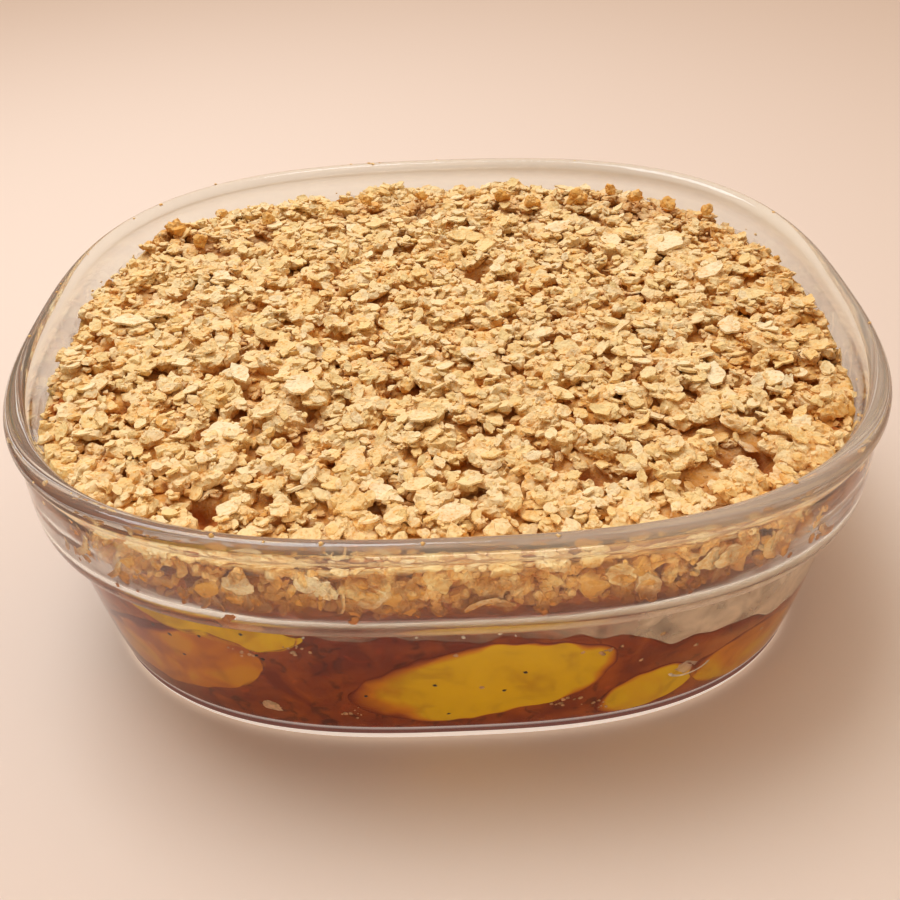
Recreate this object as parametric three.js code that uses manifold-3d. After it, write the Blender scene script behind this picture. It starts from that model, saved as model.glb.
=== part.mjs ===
// Mixed fruit crumble in its own clear glass baking dish.
// Millimetres, +Z up. The origin is the middle of the dish's flat base, X runs along the dish.
import * as THREE from 'three';
import { mergeVertices } from 'three/addons/utils/BufferGeometryUtils.js';
import Module from 'manifold-3d';

const wasm = await Module();
wasm.setup();

// Dish sizes. An inset is how far a wall stands in from the rim's outermost line.
const DISH_LENGTH = 237;
const DISH_WIDTH = 212;
const DISH_HEIGHT = 78;
const PLAN_POWER = 2.72;
const BEAD_RADIUS = 2.75;
const BEAD_HEIGHT = DISH_HEIGHT - BEAD_RADIUS;
const BAND_FOOT = 52.2;
const BAND_INSET = 0.9;
const NECK_INSET = 1.25;
const NECK_HEIGHT = 71.5;
const LEDGE_HEIGHT = 46;
const LEDGE_INSET = 6;
const BODY_TAPER = 5;
const TAPER_POWER = 1.63;
const BASE_EDGE_INSET = 11.7;
const BASE_EDGE_HEIGHT = 0.9;
const WALL = 4.2;
const BAND_WALL = 4.9;
const FLOOR = 3;
const FLOOR_CORNER_RADIUS = 5;
const GAP = 0.3;

// Facets round the dish, and round the core of the crumble
const SIDES = 56;
const HEAP_SIDES = 28;

// Contents. The fruit fills the lower body, and the crumble lies on it up to just under the rim.
const FRUIT_TOP = 50;
const FRUIT_TOP_WAVE = 1.4;
const CRUMBLE_EDGE_TOP = 66.6;
const CRUMBLE_DOME = 1.6;
const CRUMBLE_LUMP = 1.1;
const CRUMBLE_SIDE_RELIEF = 2.2;
const CRUMBLE_CEILING = 73;
const CORE_RINGS = [30, 60];
const CRUMB_SPACING = 18.8;
const CRUMB_SIZE = [9, 17];
const CRUMB_FLATNESS = [0.55, 0.8];
const SIDE_CRUMBS = 22;
const SIDE_CRUMB_SIZE = [9, 13];
const SIDE_CRUMB_HEIGHT = [57, 62];
const FLAKE_SPACING = 39;
const FLAKE_LENGTH = [10, 16];
const FLAKE_WIDTH = [0.5, 0.7];
const FLAKE_SLANT = 0.45;
const FLAKE_LIFT = [1.4, 3];
const FLAKE_THICKNESS = 1.2;

// The fruit slices that lie against the glass: middle, half sizes along the wall, up and into the
// dish, and how much each one leans.
const SLICES = [
  { name: 'fruit_slice_front', at: [6, -93, 23.5], half: [34, 15, 14], lean: 12 },
  { name: 'fruit_slice_left', at: [-71, -80, 23.5], half: [27, 12.5, 13], lean: 18 },
  { name: 'fruit_slice_upper_left', at: [-61, -88, 42], half: [26, 6.3, 11], lean: -2 },
  { name: 'fruit_slice_right', at: [49, -88, 12], half: [15, 8, 12], lean: 15 },
  { name: 'fruit_slice_far_right', at: [77, -76, 13], half: [19, 10.5, 13], lean: -8 },
  { name: 'fruit_slice_end_right', at: [105, -8, 27], half: [30, 15, 13], lean: -6 },
  { name: 'fruit_slice_end_left', at: [-105, 4, 24], half: [28, 14, 13], lean: 7 },
  { name: 'fruit_slice_back_right', at: [44, 93, 28], half: [33, 14, 13], lean: 6 },
  { name: 'fruit_slice_back_left', at: [-52, 91, 22], half: [30, 15, 13], lean: -8 },
];

// The hollow behind the glass at the right, where the fruit has sunk away from the crumble.
const HOLLOW = { at: [73, -83, 47], half: [37, 20, 13], lean: -6 };

const COLOURS = {
  glass: 0xdfe4e2,
  compote: 0x6e2a12,
  slice: 0xb8860f,
  crumble: 0xddb06a,
};

// Seeded draws, so that the heap is the same each time.
let seed = 20261130;
function random() {
  seed = (seed * 16807) % 2147483647;
  return seed / 2147483647;
}
const between = (low, high) => low + (high - low) * random();

// Radius of the rounded oblong plan at an angle, for a wall that stands in by an inset.
function planRadius(angle, inset) {
  const across = Math.abs(Math.cos(angle)) / (DISH_LENGTH / 2 - inset);
  const along = Math.abs(Math.sin(angle)) / (DISH_WIDTH / 2 - inset);
  return (across ** PLAN_POWER + along ** PLAN_POWER) ** (-1 / PLAN_POWER);
}

// One ring of points. The inset and the height may each be a number or a function of the angle.
function ring(inset, height, sides = SIDES) {
  const points = [];
  for (let side = 0; side < sides; side += 1) {
    const angle = (side / sides) * 2 * Math.PI;
    const z = typeof height === 'function' ? height(angle) : height;
    const d = typeof inset === 'function' ? inset(angle, z) : inset;
    const r = planRadius(angle, d);
    points.push(new THREE.Vector3(r * Math.cos(angle), r * Math.sin(angle), z));
  }
  return points;
}

// A closed body through rings that run from the middle of its underside to the middle of its top.
function bodyFromRings(rings, startHeight, endHeight) {
  const positions = [0, 0, startHeight];
  for (const points of rings) {
    for (const point of points) positions.push(point.x, point.y, point.z);
  }
  positions.push(0, 0, endHeight);
  const indices = [];
  const sides = rings[0].length;
  const index = (row, side) => 1 + row * sides + (side % sides);
  const last = rings.length - 1;
  const end = 1 + rings.length * sides;
  for (let side = 0; side < sides; side += 1) {
    indices.push(0, index(0, side + 1), index(0, side));
    for (let row = 0; row < last; row += 1) {
      const a = index(row, side);
      const b = index(row, side + 1);
      const c = index(row + 1, side + 1);
      const d = index(row + 1, side);
      indices.push(a, b, c, a, c, d);
    }
    indices.push(end, index(last, side), index(last, side + 1));
  }
  const geometry = new THREE.BufferGeometry();
  geometry.setAttribute('position', new THREE.Float32BufferAttribute(positions, 3));
  geometry.setIndex(indices);
  return geometry;
}

// Booleans
function toSolid(geometry) {
  const bare = geometry.clone();
  bare.deleteAttribute('normal');
  bare.deleteAttribute('uv');
  const merged = mergeVertices(bare, 1e-4);
  return new wasm.Manifold(new wasm.Mesh({
    numProp: 3,
    vertProperties: new Float32Array(merged.attributes.position.array),
    triVerts: new Uint32Array(merged.index.array),
  }));
}

function toGeometry(solid) {
  const mesh = solid.getMesh();
  const geometry = new THREE.BufferGeometry();
  geometry.setAttribute('position', new THREE.BufferAttribute(mesh.vertProperties, 3));
  geometry.setIndex(new THREE.BufferAttribute(mesh.triVerts, 1));
  return geometry;
}

// The one largest body: what a join closes off inside is filled, and loose scraps are dropped.
const SMALLEST_EDGE = 0.05;
function largestBody(solid) {
  const bodies = solid.simplify(SMALLEST_EDGE).decompose();
  return bodies.reduce((best, body) => (body.volume() > best.volume() ? body : best));
}

function named(name, geometry, colour, roughness) {
  const material = new THREE.MeshStandardMaterial({ color: colour, roughness, metalness: 0 });
  const mesh = new THREE.Mesh(geometry, material);
  mesh.name = name;
  return mesh;
}

// Dish profile, as pairs of inset and height
function bodyInset(height) {
  return LEDGE_INSET + BODY_TAPER * (1 - height / LEDGE_HEIGHT) ** TAPER_POWER;
}

function arc(inset, height, radius, from, to, steps) {
  const points = [];
  for (let step = 0; step <= steps; step += 1) {
    const angle = THREE.MathUtils.degToRad(from + ((to - from) * step) / steps);
    points.push([inset - radius * Math.cos(angle), height + radius * Math.sin(angle)]);
  }
  return points;
}

// Outside, from the base up to the neck under the bead
const outside = [
  [BASE_EDGE_INSET + 1.5, 0],
  [BASE_EDGE_INSET, BASE_EDGE_HEIGHT],
  ...[3.6, 14, 28, LEDGE_HEIGHT - 1].map((height) => [bodyInset(height), height]),
  [LEDGE_INSET - 1, LEDGE_HEIGHT + 1.8],
  [BAND_INSET + 1.7, BAND_FOOT - 3.1],
  [BAND_INSET, BAND_FOOT],
  [NECK_INSET, NECK_HEIGHT],
];

const bead = arc(BEAD_RADIUS, BEAD_HEIGHT, BEAD_RADIUS, -50, 180, 6);

// Inside, from under the bead down over the ledge to the floor
const bandInside = BAND_INSET + BAND_WALL;
const cornerInset = bodyInset(FLOOR + FLOOR_CORNER_RADIUS) + WALL;
const floorCorner = arc(cornerInset + FLOOR_CORNER_RADIUS, FLOOR + FLOOR_CORNER_RADIUS,
  FLOOR_CORNER_RADIUS, -25, -90, 3);
const inside = [
  [bandInside, NECK_HEIGHT],
  [bandInside + 0.3, BAND_FOOT + 4],
  [bandInside + 1.3, BAND_FOOT - 1.7],
  [bodyInset(LEDGE_HEIGHT - 2) + WALL - 0.3, LEDGE_HEIGHT - 1.5],
  [bodyInset(30) + WALL, 30],
  ...floorCorner,
];

function makeDish() {
  const profile = [...outside, ...bead, ...inside];
  return bodyFromRings(profile.map(([inset, height]) => ring(inset, height)), 0, FLOOR);
}

// How far in the inner wall stands at a height
function insideInset(height) {
  const rows = [[2 * BEAD_RADIUS, BEAD_HEIGHT], ...inside];
  for (let row = 1; row < rows.length; row += 1) {
    const [upperAt, upper] = rows[row - 1];
    const [lowerAt, lower] = rows[row];
    if (height >= lower) {
      const share = Math.min(1, (height - lower) / (upper - lower));
      return lowerAt + (upperAt - lowerAt) * share;
    }
  }
  return inside[inside.length - 1][0];
}

const againstGlass = (angle, height) => insideInset(height) + GAP;

// The wavy line where crumble meets fruit
function fruitTop(angle) {
  return FRUIT_TOP + FRUIT_TOP_WAVE * (0.6 * Math.sin(3 * angle + 0.5) + 0.4 * Math.sin(7 * angle + 2));
}

// Fruit
function bowlOfFruit() {
  const rings = [];
  for (const [inset, height] of inside.slice(3).reverse()) {
    rings.push(ring(inset + GAP, Math.max(height, FLOOR + GAP)));
  }
  rings.push(ring(againstGlass, fruitTop));
  return toSolid(bodyFromRings(rings, FLOOR + GAP, FRUIT_TOP));
}

const SLICE_SIDES = 11;
const SLICE_ROWS = 7;

// A plump slice, turned to lie along the glass where it is
function sliceBody({ at, half, lean }, grow) {
  const geometry = new THREE.SphereGeometry(1, SLICE_SIDES, SLICE_ROWS);
  geometry.scale(half[0] + grow, half[2] + grow, half[1] + grow);
  geometry.rotateY(THREE.MathUtils.degToRad(-lean));
  const outward = Math.atan2(at[1] * (DISH_LENGTH / DISH_WIDTH) ** 2, at[0]);
  geometry.rotateZ(outward + Math.PI / 2);
  geometry.translate(...at);
  return toSolid(geometry);
}

function makeFruit() {
  const whole = bowlOfFruit();
  const hollow = sliceBody(HOLLOW, 0);
  let compote = whole.subtract(hollow);
  const pieces = [];
  for (const slice of SLICES) {
    let solid = sliceBody(slice, 0).intersect(whole);
    for (const other of pieces) solid = solid.subtract(sliceBody(other.slice, GAP));
    compote = compote.subtract(sliceBody(slice, GAP));
    pieces.push({ slice, solid });
  }
  const meshes = pieces.map(({ slice, solid }) => (
    named(slice.name, toGeometry(largestBody(solid)), COLOURS.slice, 0.35)
  ));
  meshes.unshift(named('fruit_filling', toGeometry(largestBody(compote)), COLOURS.compote, 0.4));
  return meshes;
}

// Crumble
function lumps(x, y) {
  return Math.sin(x / 7.3 + 1.1 * Math.sin(y / 11)) * Math.cos(y / 6.1 + 0.7 * Math.sin(x / 13))
    + 0.6 * Math.sin(x / 3.9 + 2) * Math.sin(y / 4.3 + 1);
}

function crumbleTop(x, y) {
  const edge = Math.hypot(x / (DISH_LENGTH / 2), y / (DISH_WIDTH / 2));
  return CRUMBLE_EDGE_TOP + CRUMBLE_DOME * (1 - edge ** 2) + CRUMBLE_LUMP * lumps(x, y);
}

function ringOnTop(inset) {
  const points = ring(inset, 0, HEAP_SIDES);
  for (const point of points) point.z = crumbleTop(point.x, point.y);
  return points;
}

function crumbleCore() {
  const underside = (angle) => fruitTop(angle) - CRUMBLE_SIDE_RELIEF;
  const rings = [
    ring(insideInset(FRUIT_TOP) + CRUMBLE_SIDE_RELIEF, underside, HEAP_SIDES),
    ringOnTop(insideInset(CRUMBLE_EDGE_TOP) + CRUMBLE_SIDE_RELIEF),
    ...CORE_RINGS.map(ringOnTop),
  ];
  return toSolid(bodyFromRings(rings, FRUIT_TOP - CRUMBLE_SIDE_RELIEF, crumbleTop(0, 0)));
}

// All that may hold crumble: inside the glass, down to the fruit
function crumbleRoom() {
  const floorOf = (angle) => fruitTop(angle) + GAP;
  const rings = [
    ring(againstGlass, floorOf),
    ...[BAND_FOOT + 4, NECK_HEIGHT, DISH_HEIGHT].map((height) => ring(againstGlass, height)),
  ];
  return toSolid(bodyFromRings(rings, FRUIT_TOP + GAP, DISH_HEIGHT));
}

// One knobbly crumb: a few-sided ball with each corner moved in or out
function crumb(x, y, z, size) {
  const geometry = mergeVertices(bareIcosahedron(), 1e-4);
  const corners = geometry.attributes.position;
  for (let corner = 0; corner < corners.count; corner += 1) {
    const reach = between(0.78, 1.15);
    corners.setXYZ(corner, corners.getX(corner) * reach, corners.getY(corner) * reach,
      corners.getZ(corner) * reach);
  }
  geometry.scale(size / 2, (size / 2) * between(0.7, 1), (size / 2) * between(...CRUMB_FLATNESS));
  geometry.rotateX(between(-0.5, 0.5));
  geometry.rotateY(between(-0.5, 0.5));
  geometry.rotateZ(between(0, 2 * Math.PI));
  return placedUnderCeiling(geometry, x, y, z);
}

function placedUnderCeiling(geometry, x, y, z) {
  geometry.computeBoundingBox();
  const top = geometry.boundingBox.max.z;
  geometry.translate(x, y, Math.min(z, CRUMBLE_CEILING - top));
  return toSolid(geometry);
}

function bareIcosahedron() {
  const geometry = new THREE.IcosahedronGeometry(1, 0);
  geometry.deleteAttribute('normal');
  geometry.deleteAttribute('uv');
  return geometry;
}

// One thin flake of almond or oat, lying at a slant
function flake(x, y) {
  const length = between(...FLAKE_LENGTH);
  const geometry = new THREE.CylinderGeometry(1, 0.94, FLAKE_THICKNESS, 6);
  geometry.rotateX(Math.PI / 2);
  geometry.scale(length / 2, (length / 2) * between(...FLAKE_WIDTH), 1);
  geometry.rotateX(between(-FLAKE_SLANT, FLAKE_SLANT));
  geometry.rotateY(between(-FLAKE_SLANT, FLAKE_SLANT));
  geometry.rotateZ(between(0, 2 * Math.PI));
  return placedUnderCeiling(geometry, x, y, crumbleTop(x, y) + between(...FLAKE_LIFT));
}

// Places spread evenly over the oblong, each shifted a little
function spread(spacing, edgeInset) {
  const places = [];
  const rowStep = spacing * 0.866;
  const rows = Math.ceil(DISH_WIDTH / 2 / rowStep);
  const columns = Math.ceil(DISH_LENGTH / 2 / spacing) + 1;
  for (let row = -rows; row <= rows; row += 1) {
    for (let column = -columns; column <= columns; column += 1) {
      const x = (column + (row % 2 ? 0.5 : 0)) * spacing + between(-0.3, 0.3) * spacing;
      const y = row * rowStep + between(-0.3, 0.3) * spacing;
      if (Math.hypot(x, y) < planRadius(Math.atan2(y, x), edgeInset)) places.push([x, y]);
    }
  }
  return places;
}

function makeCrumble() {
  const solids = [crumbleCore()];
  for (const [x, y] of spread(CRUMB_SPACING, 10)) {
    const size = between(...CRUMB_SIZE);
    solids.push(crumb(x, y, crumbleTop(x, y) + between(-0.05, 0.25) * size, size));
  }
  for (let count = 0; count < SIDE_CRUMBS; count += 1) {
    const angle = ((count + between(-0.25, 0.25)) / SIDE_CRUMBS) * 2 * Math.PI;
    const z = between(...SIDE_CRUMB_HEIGHT);
    const r = planRadius(angle, insideInset(z) + CRUMBLE_SIDE_RELIEF);
    solids.push(crumb(r * Math.cos(angle), r * Math.sin(angle), z, between(...SIDE_CRUMB_SIZE)));
  }
  for (const [x, y] of spread(FLAKE_SPACING, 14)) solids.push(flake(x, y));
  const heap = wasm.Manifold.union(solids).intersect(crumbleRoom());
  return named('crumble_topping', toGeometry(largestBody(heap)), COLOURS.crumble, 0.9);
}

const group = new THREE.Group();
group.add(named('glass_dish', makeDish(), COLOURS.glass, 0.05));
group.add(...makeFruit());
group.add(makeCrumble());

export default group;
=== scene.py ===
"""Looks of a mixed fruit crumble in its own clear glass baking dish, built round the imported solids."""

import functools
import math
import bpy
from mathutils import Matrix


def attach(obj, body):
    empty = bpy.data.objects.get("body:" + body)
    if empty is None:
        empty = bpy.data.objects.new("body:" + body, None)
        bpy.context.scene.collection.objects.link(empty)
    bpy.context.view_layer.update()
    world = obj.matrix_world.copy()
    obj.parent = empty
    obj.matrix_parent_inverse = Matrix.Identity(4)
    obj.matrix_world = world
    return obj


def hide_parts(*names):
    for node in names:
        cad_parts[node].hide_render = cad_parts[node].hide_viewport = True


bl_info = {
    "name": "Fruit Crumble in a Glass Dish",
    "version": (1, 0, 0),
    "blender": (4, 5, 0),
    "location": "3D View > Sidebar > Crumble",
    "description": "Builds a glass dish of stewed fruit under a baked crumble with flaked almonds",
    "category": "Add Mesh",
}

import bmesh
import bpy
import numpy as np
from bpy.props import FloatProperty, FloatVectorProperty, IntProperty, PointerProperty
from mathutils import Matrix, Vector, noise

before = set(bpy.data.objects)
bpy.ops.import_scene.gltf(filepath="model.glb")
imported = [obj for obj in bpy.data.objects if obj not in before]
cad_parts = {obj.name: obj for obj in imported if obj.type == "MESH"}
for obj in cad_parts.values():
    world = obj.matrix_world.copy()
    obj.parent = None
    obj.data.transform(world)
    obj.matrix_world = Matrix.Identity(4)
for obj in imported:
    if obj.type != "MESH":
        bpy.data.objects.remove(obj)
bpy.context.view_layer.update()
BODY = "root"
MM = 0.001


def linear(code):
    """An sRGB hex colour as linear red, green, blue and alpha."""
    shares = [int(code[at:at + 2], 16) / 255 for at in (1, 3, 5)]
    return tuple(s / 12.92 if s <= 0.04045 else ((s + 0.055) / 1.055) ** 2.4 for s in shares) + (1.0,)


def colour(name, about, code):
    """A colour setting."""
    return FloatVectorProperty(name=name, description=about, subtype="COLOR", size=4,
                               min=0.0, max=1.0, default=linear(code))


def length(name, about, millimetres):
    """A length setting."""
    return FloatProperty(name=name, description=about, subtype="DISTANCE", unit="LENGTH",
                         min=0.0, default=millimetres * MM)


class DishSettings(bpy.types.PropertyGroup):
    """Sizes and colour of the glass dish."""

    length: length("Length", "Outside length of the rim", 237)
    width: length("Width", "Outside width of the rim", 212)
    height: length("Height", "From the surface to the top of the rim", 78)
    wall: length("Wall", "Thickness of the lower wall", 4.2)
    tint: colour("Tint", "Colour that the glass gives to light", "#F7FBF8")


class FruitSettings(bpy.types.PropertyGroup):
    """Level and colours of the stewed fruit."""

    level: length("Level", "Height of the line where fruit meets crumble", 50)
    juice: colour("Juice", "Dark stewed fruit and juice", "#74240A")
    pulp: colour("Pulp", "Lighter streaks in the stewed fruit", "#A24A16")
    # Painted backlight: the colour that fruit is painted where light shines through it
    soft: colour("Soft fruit", "Soft fruit that lets light through at the right", "#D08A4A")
    slice: colour("Slice", "Soft golden fruit slices", "#DDAE06")
    slice_edge: colour("Slice edge", "Where a slice has taken up juice", "#CC7A0E")


class CrumbleSettings(bpy.types.PropertyGroup):
    """Size and colours of the baked crumble."""

    edge: length("Edge", "Height of the crumble at the glass", 66.6)
    pale: colour("Pale", "Least baked crumbs", "#F9E1B2")
    golden: colour("Golden", "Most of the crumbs", "#F7D899")
    # Also the colour that painted brown shade in the small gaps is mixed towards
    toast_and_gap_brown: colour("Toasted", "Crumbs that stand up and along the glass", "#E8AB56")
    # Painted shade: the colour that the deep gaps between the crumbs are darkened towards
    gap_shade_colour: colour("Crevice", "Down between the crumbs", "#A65016")
    flake: colour("Flake", "Flaked almonds and oats", "#FCE8BE")
    flakes: IntProperty(name="Flakes", description="Flaked almonds on top", min=0, default=230)


class StageSettings(bpy.types.PropertyGroup):
    """Floor, light and camera."""

    floor: colour("Floor", "Plain pale floor", "#ECDACD")
    sky: colour("Sky", "Soft light all round", "#FFE6CE")
    focal: FloatProperty(name="Focal length", description="Lens on a 36 mm sensor", default=40.0,
                         min=1.0, subtype="DISTANCE_CAMERA")
    distance: length("Distance", "From the camera to the point that it looks at", 314.64)


# Form of the dish, in millimetres. An inset is how far a wall stands in from the rim's outermost line.
PLAN_POWER = 2.72
ROUND_STEPS = 96
BEAD_RADIUS = 2.75
BEAD_STEPS = 16
LEDGE_HEIGHT = 46
LEDGE_INSET = 6
BODY_TAPER = 5
TAPER_POWER = 1.63
FLOOR = 2.2
CORNER_RADIUS = 3.5
FLAT_INSET = 30
MIDDLE_INSET = 60
BASE_EDGE = [(14, 0), (11.5, 0), (11.05, 0.1), (10.9, 0.5), (10.8, 1.2), (10.65, 2.4)]
BODY_HEIGHTS = [4.2, 8, 14, 21, 28, 35, 41, 44.5]
SHOULDER = [(5.9, 46.4), (5.5, 47.3), (4.6, 48.0), (3.2, 48.5), (1.9, 49.4), (1.1, 51), (0.8, 53.5)]
BAND = [(0.8, 58), (1.0, 65), (1.15, 70), (1.3, 71.8)]
BAND_INSIDE = [(5.62, 73), (5.75, 70), (5.95, 63), (6.1, 57), (6.5, 53), (7.2, 50.2),
               (8.2, 47.8), (9.3, 46), (10.0, 44), (10.3, 41)]
LOWER_INSIDE_HEIGHTS = [36, 30, 24, 17, 11]

# Heights on the glass: the foot, painted white with a painted glow for light that the glass floor leads
# there from behind, whose line rises towards the ends by a share of X squared; the thick floor, painted in
# the juice's colour as a painted view of the fruit through it; and painted milky light along the shoulder
# line and on the bead
FOOT_HEIGHTS = (2.7, 2.4)
FOOT_RISE = 0.16
FRUIT_VIEW_HEIGHTS = (5.3, 4.3)
PAINTED_GLASS_LIGHT = [(0, 0), (49.2, 0), (50.2, 0.3), (51.4, 0.3), (52.6, 0), (71, 0), (74, 0.24)]
PAINTED_LIGHT_TOP = 80

# Form of the contents, in millimetres
LEVEL_WAVE = 1.4
DOME = 1.6
LUMP = 1.1
LAYER = 4.6
CEILING = 75.5
INTO_GLASS = 0.25
SLICE_INTO_GLASS = 0.5

# Each slice of fruit: middle, half sizes along the wall, up and deep, lean in degrees, how much juice
# it has taken up, and how far it fades into the juice at its left end
SLICES = {
    "fruit_slice_front": ((6, -93, 23.5), (34, 15, 14), 12, 0.05, 15),
    "fruit_slice_left": ((-71, -80, 23.5), (27, 12.5, 13), 18, 0.54, 2),
    "fruit_slice_upper_left": ((-61, -88, 42), (26, 6.3, 11), -2, 0.15, 1),
    "fruit_slice_right": ((49, -88, 12), (15, 8, 12), 15, 0.28, 6),
    "fruit_slice_far_right": ((77, -76, 13), (19, 10.5, 13), -8, 0.4, 3),
    "fruit_slice_end_right": ((105, -8, 27), (30, 15, 13), -6, 0.2, 9),
    "fruit_slice_end_left": ((-105, 4, 24), (28, 14, 13), 7, 0.1, 14),
    "fruit_slice_back_right": ((44, 93, 28), (33, 14, 13), 6, 0.05, 12),
    "fruit_slice_back_left": ((-52, 91, 22), (30, 15, 13), -8, 0.3, 16),
}

# How far below the crumble the fruit leaves the glass, by direction in degrees. In front at the
# right it has sunk away from the crumble.
FRUIT_DROPS = [(-180, 4), (-160, 6), (-148, 2), (-121, 1.2), (-117, 5), (-112, 9.5), (-90, 10), (-73, 10),
               (-66, 14), (-60, 18.5), (-48, 21), (-38, 26), (-30, 22), (-22, 8), (-8, 3), (12, 7),
               (35, 2), (60, 8), (85, 10), (105, 4), (130, 8), (155, 3), (180, 4)]

# How much painted backlight shows in the stew and on the slices, by direction in degrees: fruit painted
# lighter where light shines through it
PAINTED_BACKLIGHT = [(-180, 0.3), (-160, 0.1), (-145, 0.25), (-128, 0), (-66, 0), (-56, 0.2), (-46, 0.7),
              (-36, 0.95), (-20, 0.7), (0, 0.2), (40, 0.4), (80, 0.1), (130, 0.4), (180, 0.3)]

# Places that the photograph shows. On the glass: direction in degrees, and height.
SPECKS = [(-93.7, 23.4), (-83.3, 19.9), (-91.8, 10.1), (-132.9, 34.7), (-130.5, 33.3), (-125.7, 36.5),
          (-129.3, 26.4), (-119.5, 40.8), (-80.3, 27.2), (-104.1, 19), (-118.1, 33.4), (-117.4, 32.1)]
FOAM = [(-106.8, 11.2), (-74.2, 12.2), (-68.9, 32.9), (-112.7, 37), (-119.8, 32.7), (-69, 8.7)]
BUBBLES = [(-90.5, 35.4), (-86.6, 21.7), (-63.9, 26.4), (-61.6, 35.4), (-56.1, 26.9), (-43.8, 19.1)]
SLIPPED_FLAKE = (-118.6, 11.2)
DRIP = (-55.8, 17.7)
LEDGE_CHUNK = (-119.2, 51.8)
STEAM_FROM, STEAM_TO = -118, -20
SMEAR_FROM = 53
MARK_THICKNESS = 0.8
MARK_INTO_GLASS = 0.2

# On top: x and y with the hole's radius, the crumb's size, or the flake's length and turn
HOLES = [(-58, 10, 6), (12, 29, 6), (-58, -79, 7), (73, -68, 8), (-20, -34, 5.5), (33, -12, 5.5),
         (-40, -42, 5), (97, -38, 6.5), (-87, -36, 5.5), (33, -73, 5.5), (-72, 40, 4.5), (60, 8, 4.5)]
HOLE_DEPTH = 8
BACK_CRUMBS = [(-91, 64, 9.5), (-80, 51, 6), (-59, 66, 6), (-26, 78, 6), (-6, 79, 5), (22, 79, 7),
               (32, 73, 7), (49, 76, 7.5), (61, 80, 6), (69, 74, 7.5), (79, 67, 7), (91, 60, 6)]
MARKED_FLAKES = [(73, 42, 16, 10), (83, 20, 11, 40), (71, -36, 10.5, 80), (85, -38, 10, -10),
                 (81, -12, 10, 70), (-58, -51, 10, 20), (-16, -78, 9, -30), (30, -84, 9, 60),
                 (-56, -29, 9, -60), (-93, 3, 10, 5), (0, -87, 10, 15), (47, -40, 9, 50), (8, -22, 9, -20),
                 (-39, -37, 10, 75), (40, 55, 10, 20), (-30, 30, 9, 100), (-70, 30, 9, -40)]

# Loose things on the heap in the order in which they fall: crumbs by name, spacing, subdivisions, number
# of shapes, least and greatest size, how deep they sink and on what share of the cells they rest
COARSE_CRUMBS = [("crumble_crumbs", 8.4, 3, 12, (8, 13), 0.5, 0.4),
                 ("crumble_small_crumbs", 5.6, 2, 10, (4.2, 7.4), 0.45, 0.3)]
LATE_CRUMBS = ("crumble_late_crumbs", 5.1, 2, 10, (2.4, 4.8), 0.4, 0.3)
GRAINS = ("crumble_grains", 4.4, 1, 6, (1.0, 2.2), 0.3, 0.4)

# Crumbs against the glass: name, number, subdivisions, least and greatest size, and lowest height
SIDE_CRUMBS = [("crumble_side_crumbs", 500, 3, (5, 10), 53.2),
               ("crumble_side_grains", 950, 2, (2.2, 5), 51.6)]
SIDE_TOP = 67
SIDE_FLAKES = 130
THIN_NAMES = ("crumble_flakes", "crumble_oats")
OATS = 640
CRUMB_CREASE = 28
FLAKE_CREASE = 40

# Fineness of the meshes
FRUIT_STEPS = 320
WALL_ROWS = 36
RECESS_ROWS = 14
SMEAR_ROWS = 16
CRUMB_CORNERS = 12
CRUMB_SIDES = 13
BLUNT = 9
CORE_CRUMBS = 7000
CORE_ACROSS = 180
CORE_ALONG = 160
RING_STEPS = 640
RING_ROWS = 34
RING_THICKNESS = 16
RING_CELL = 5.2
DRUM = 100.0

SHALLOW_RECESS = 1.7
DEEP_RECESS = 13


def settings(group):
    """One of the scene's groups of settings."""
    return getattr(bpy.context.scene, "crumble_" + group)


def half_sizes():
    """Half the length and half the width of the rim, in millimetres."""
    dish = settings("dish")
    return dish.length / MM / 2, dish.width / MM / 2


def plan_radius(angle, inset):
    """Distance from the middle to a wall of the rounded oblong plan, in a direction."""
    half_length, half_width = half_sizes()
    across = np.abs(np.cos(angle)) / (half_length - inset)
    along = np.abs(np.sin(angle)) / (half_width - inset)
    return (across ** PLAN_POWER + along ** PLAN_POWER) ** (-1 / PLAN_POWER)


def body_inset(height):
    """How far in the outside of the lower wall stands."""
    share = np.clip(1 - np.asarray(height, float) / LEDGE_HEIGHT, 0, 1)
    return LEDGE_INSET + BODY_TAPER * share ** TAPER_POWER


def arc(inset, height, radius, start, end, steps):
    """Points of a round stretch of the profile. 0 degrees points outwards and 90 degrees up."""
    angles = np.radians(np.linspace(start, end, steps + 1))
    return [(inset - radius * math.cos(a), height + radius * math.sin(a)) for a in angles]


@functools.cache
def inside_profile():
    """The inner wall from under the bead down to the floor."""
    wall = settings("dish").wall / MM
    corner_top = FLOOR + CORNER_RADIUS
    corner_inset = float(body_inset(corner_top)) + wall + CORNER_RADIUS
    lower = [(float(body_inset(h)) + wall, h) for h in LOWER_INSIDE_HEIGHTS]
    return BAND_INSIDE + lower + arc(corner_inset, corner_top, CORNER_RADIUS, -12, -90, 6)


@functools.cache
def inside_rows():
    """Heights of the inner wall from the floor upwards, and how far in it stands at each."""
    return np.array(sorted((h, inset) for inset, h in inside_profile())).T


def inside_inset(height):
    """How far in the inner wall stands at a height."""
    return np.interp(height, *inside_rows())


def place_at(angle, reach, height):
    """A place from its direction, its distance from the middle and its height."""
    return float(reach) * math.cos(angle), float(reach) * math.sin(angle), height


def places_at(angle, reach, height):
    """The same for arrays, as rows."""
    return np.stack([reach * np.cos(angle), reach * np.sin(angle), height], 1)


def wall_place(angle, height, inset=0.0):
    """A place on the inner glass, or in from it."""
    return place_at(angle, plan_radius(angle, inside_inset(height) + inset), height)


def rows_of(bm):
    """X, Y and Z of a bmesh's points."""
    return np.array([vert.co for vert in bm.verts]).T


def move(bm, places):
    """Puts a bmesh's points at new places."""
    for vert, place in zip(bm.verts, places):
        vert.co = place


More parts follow.
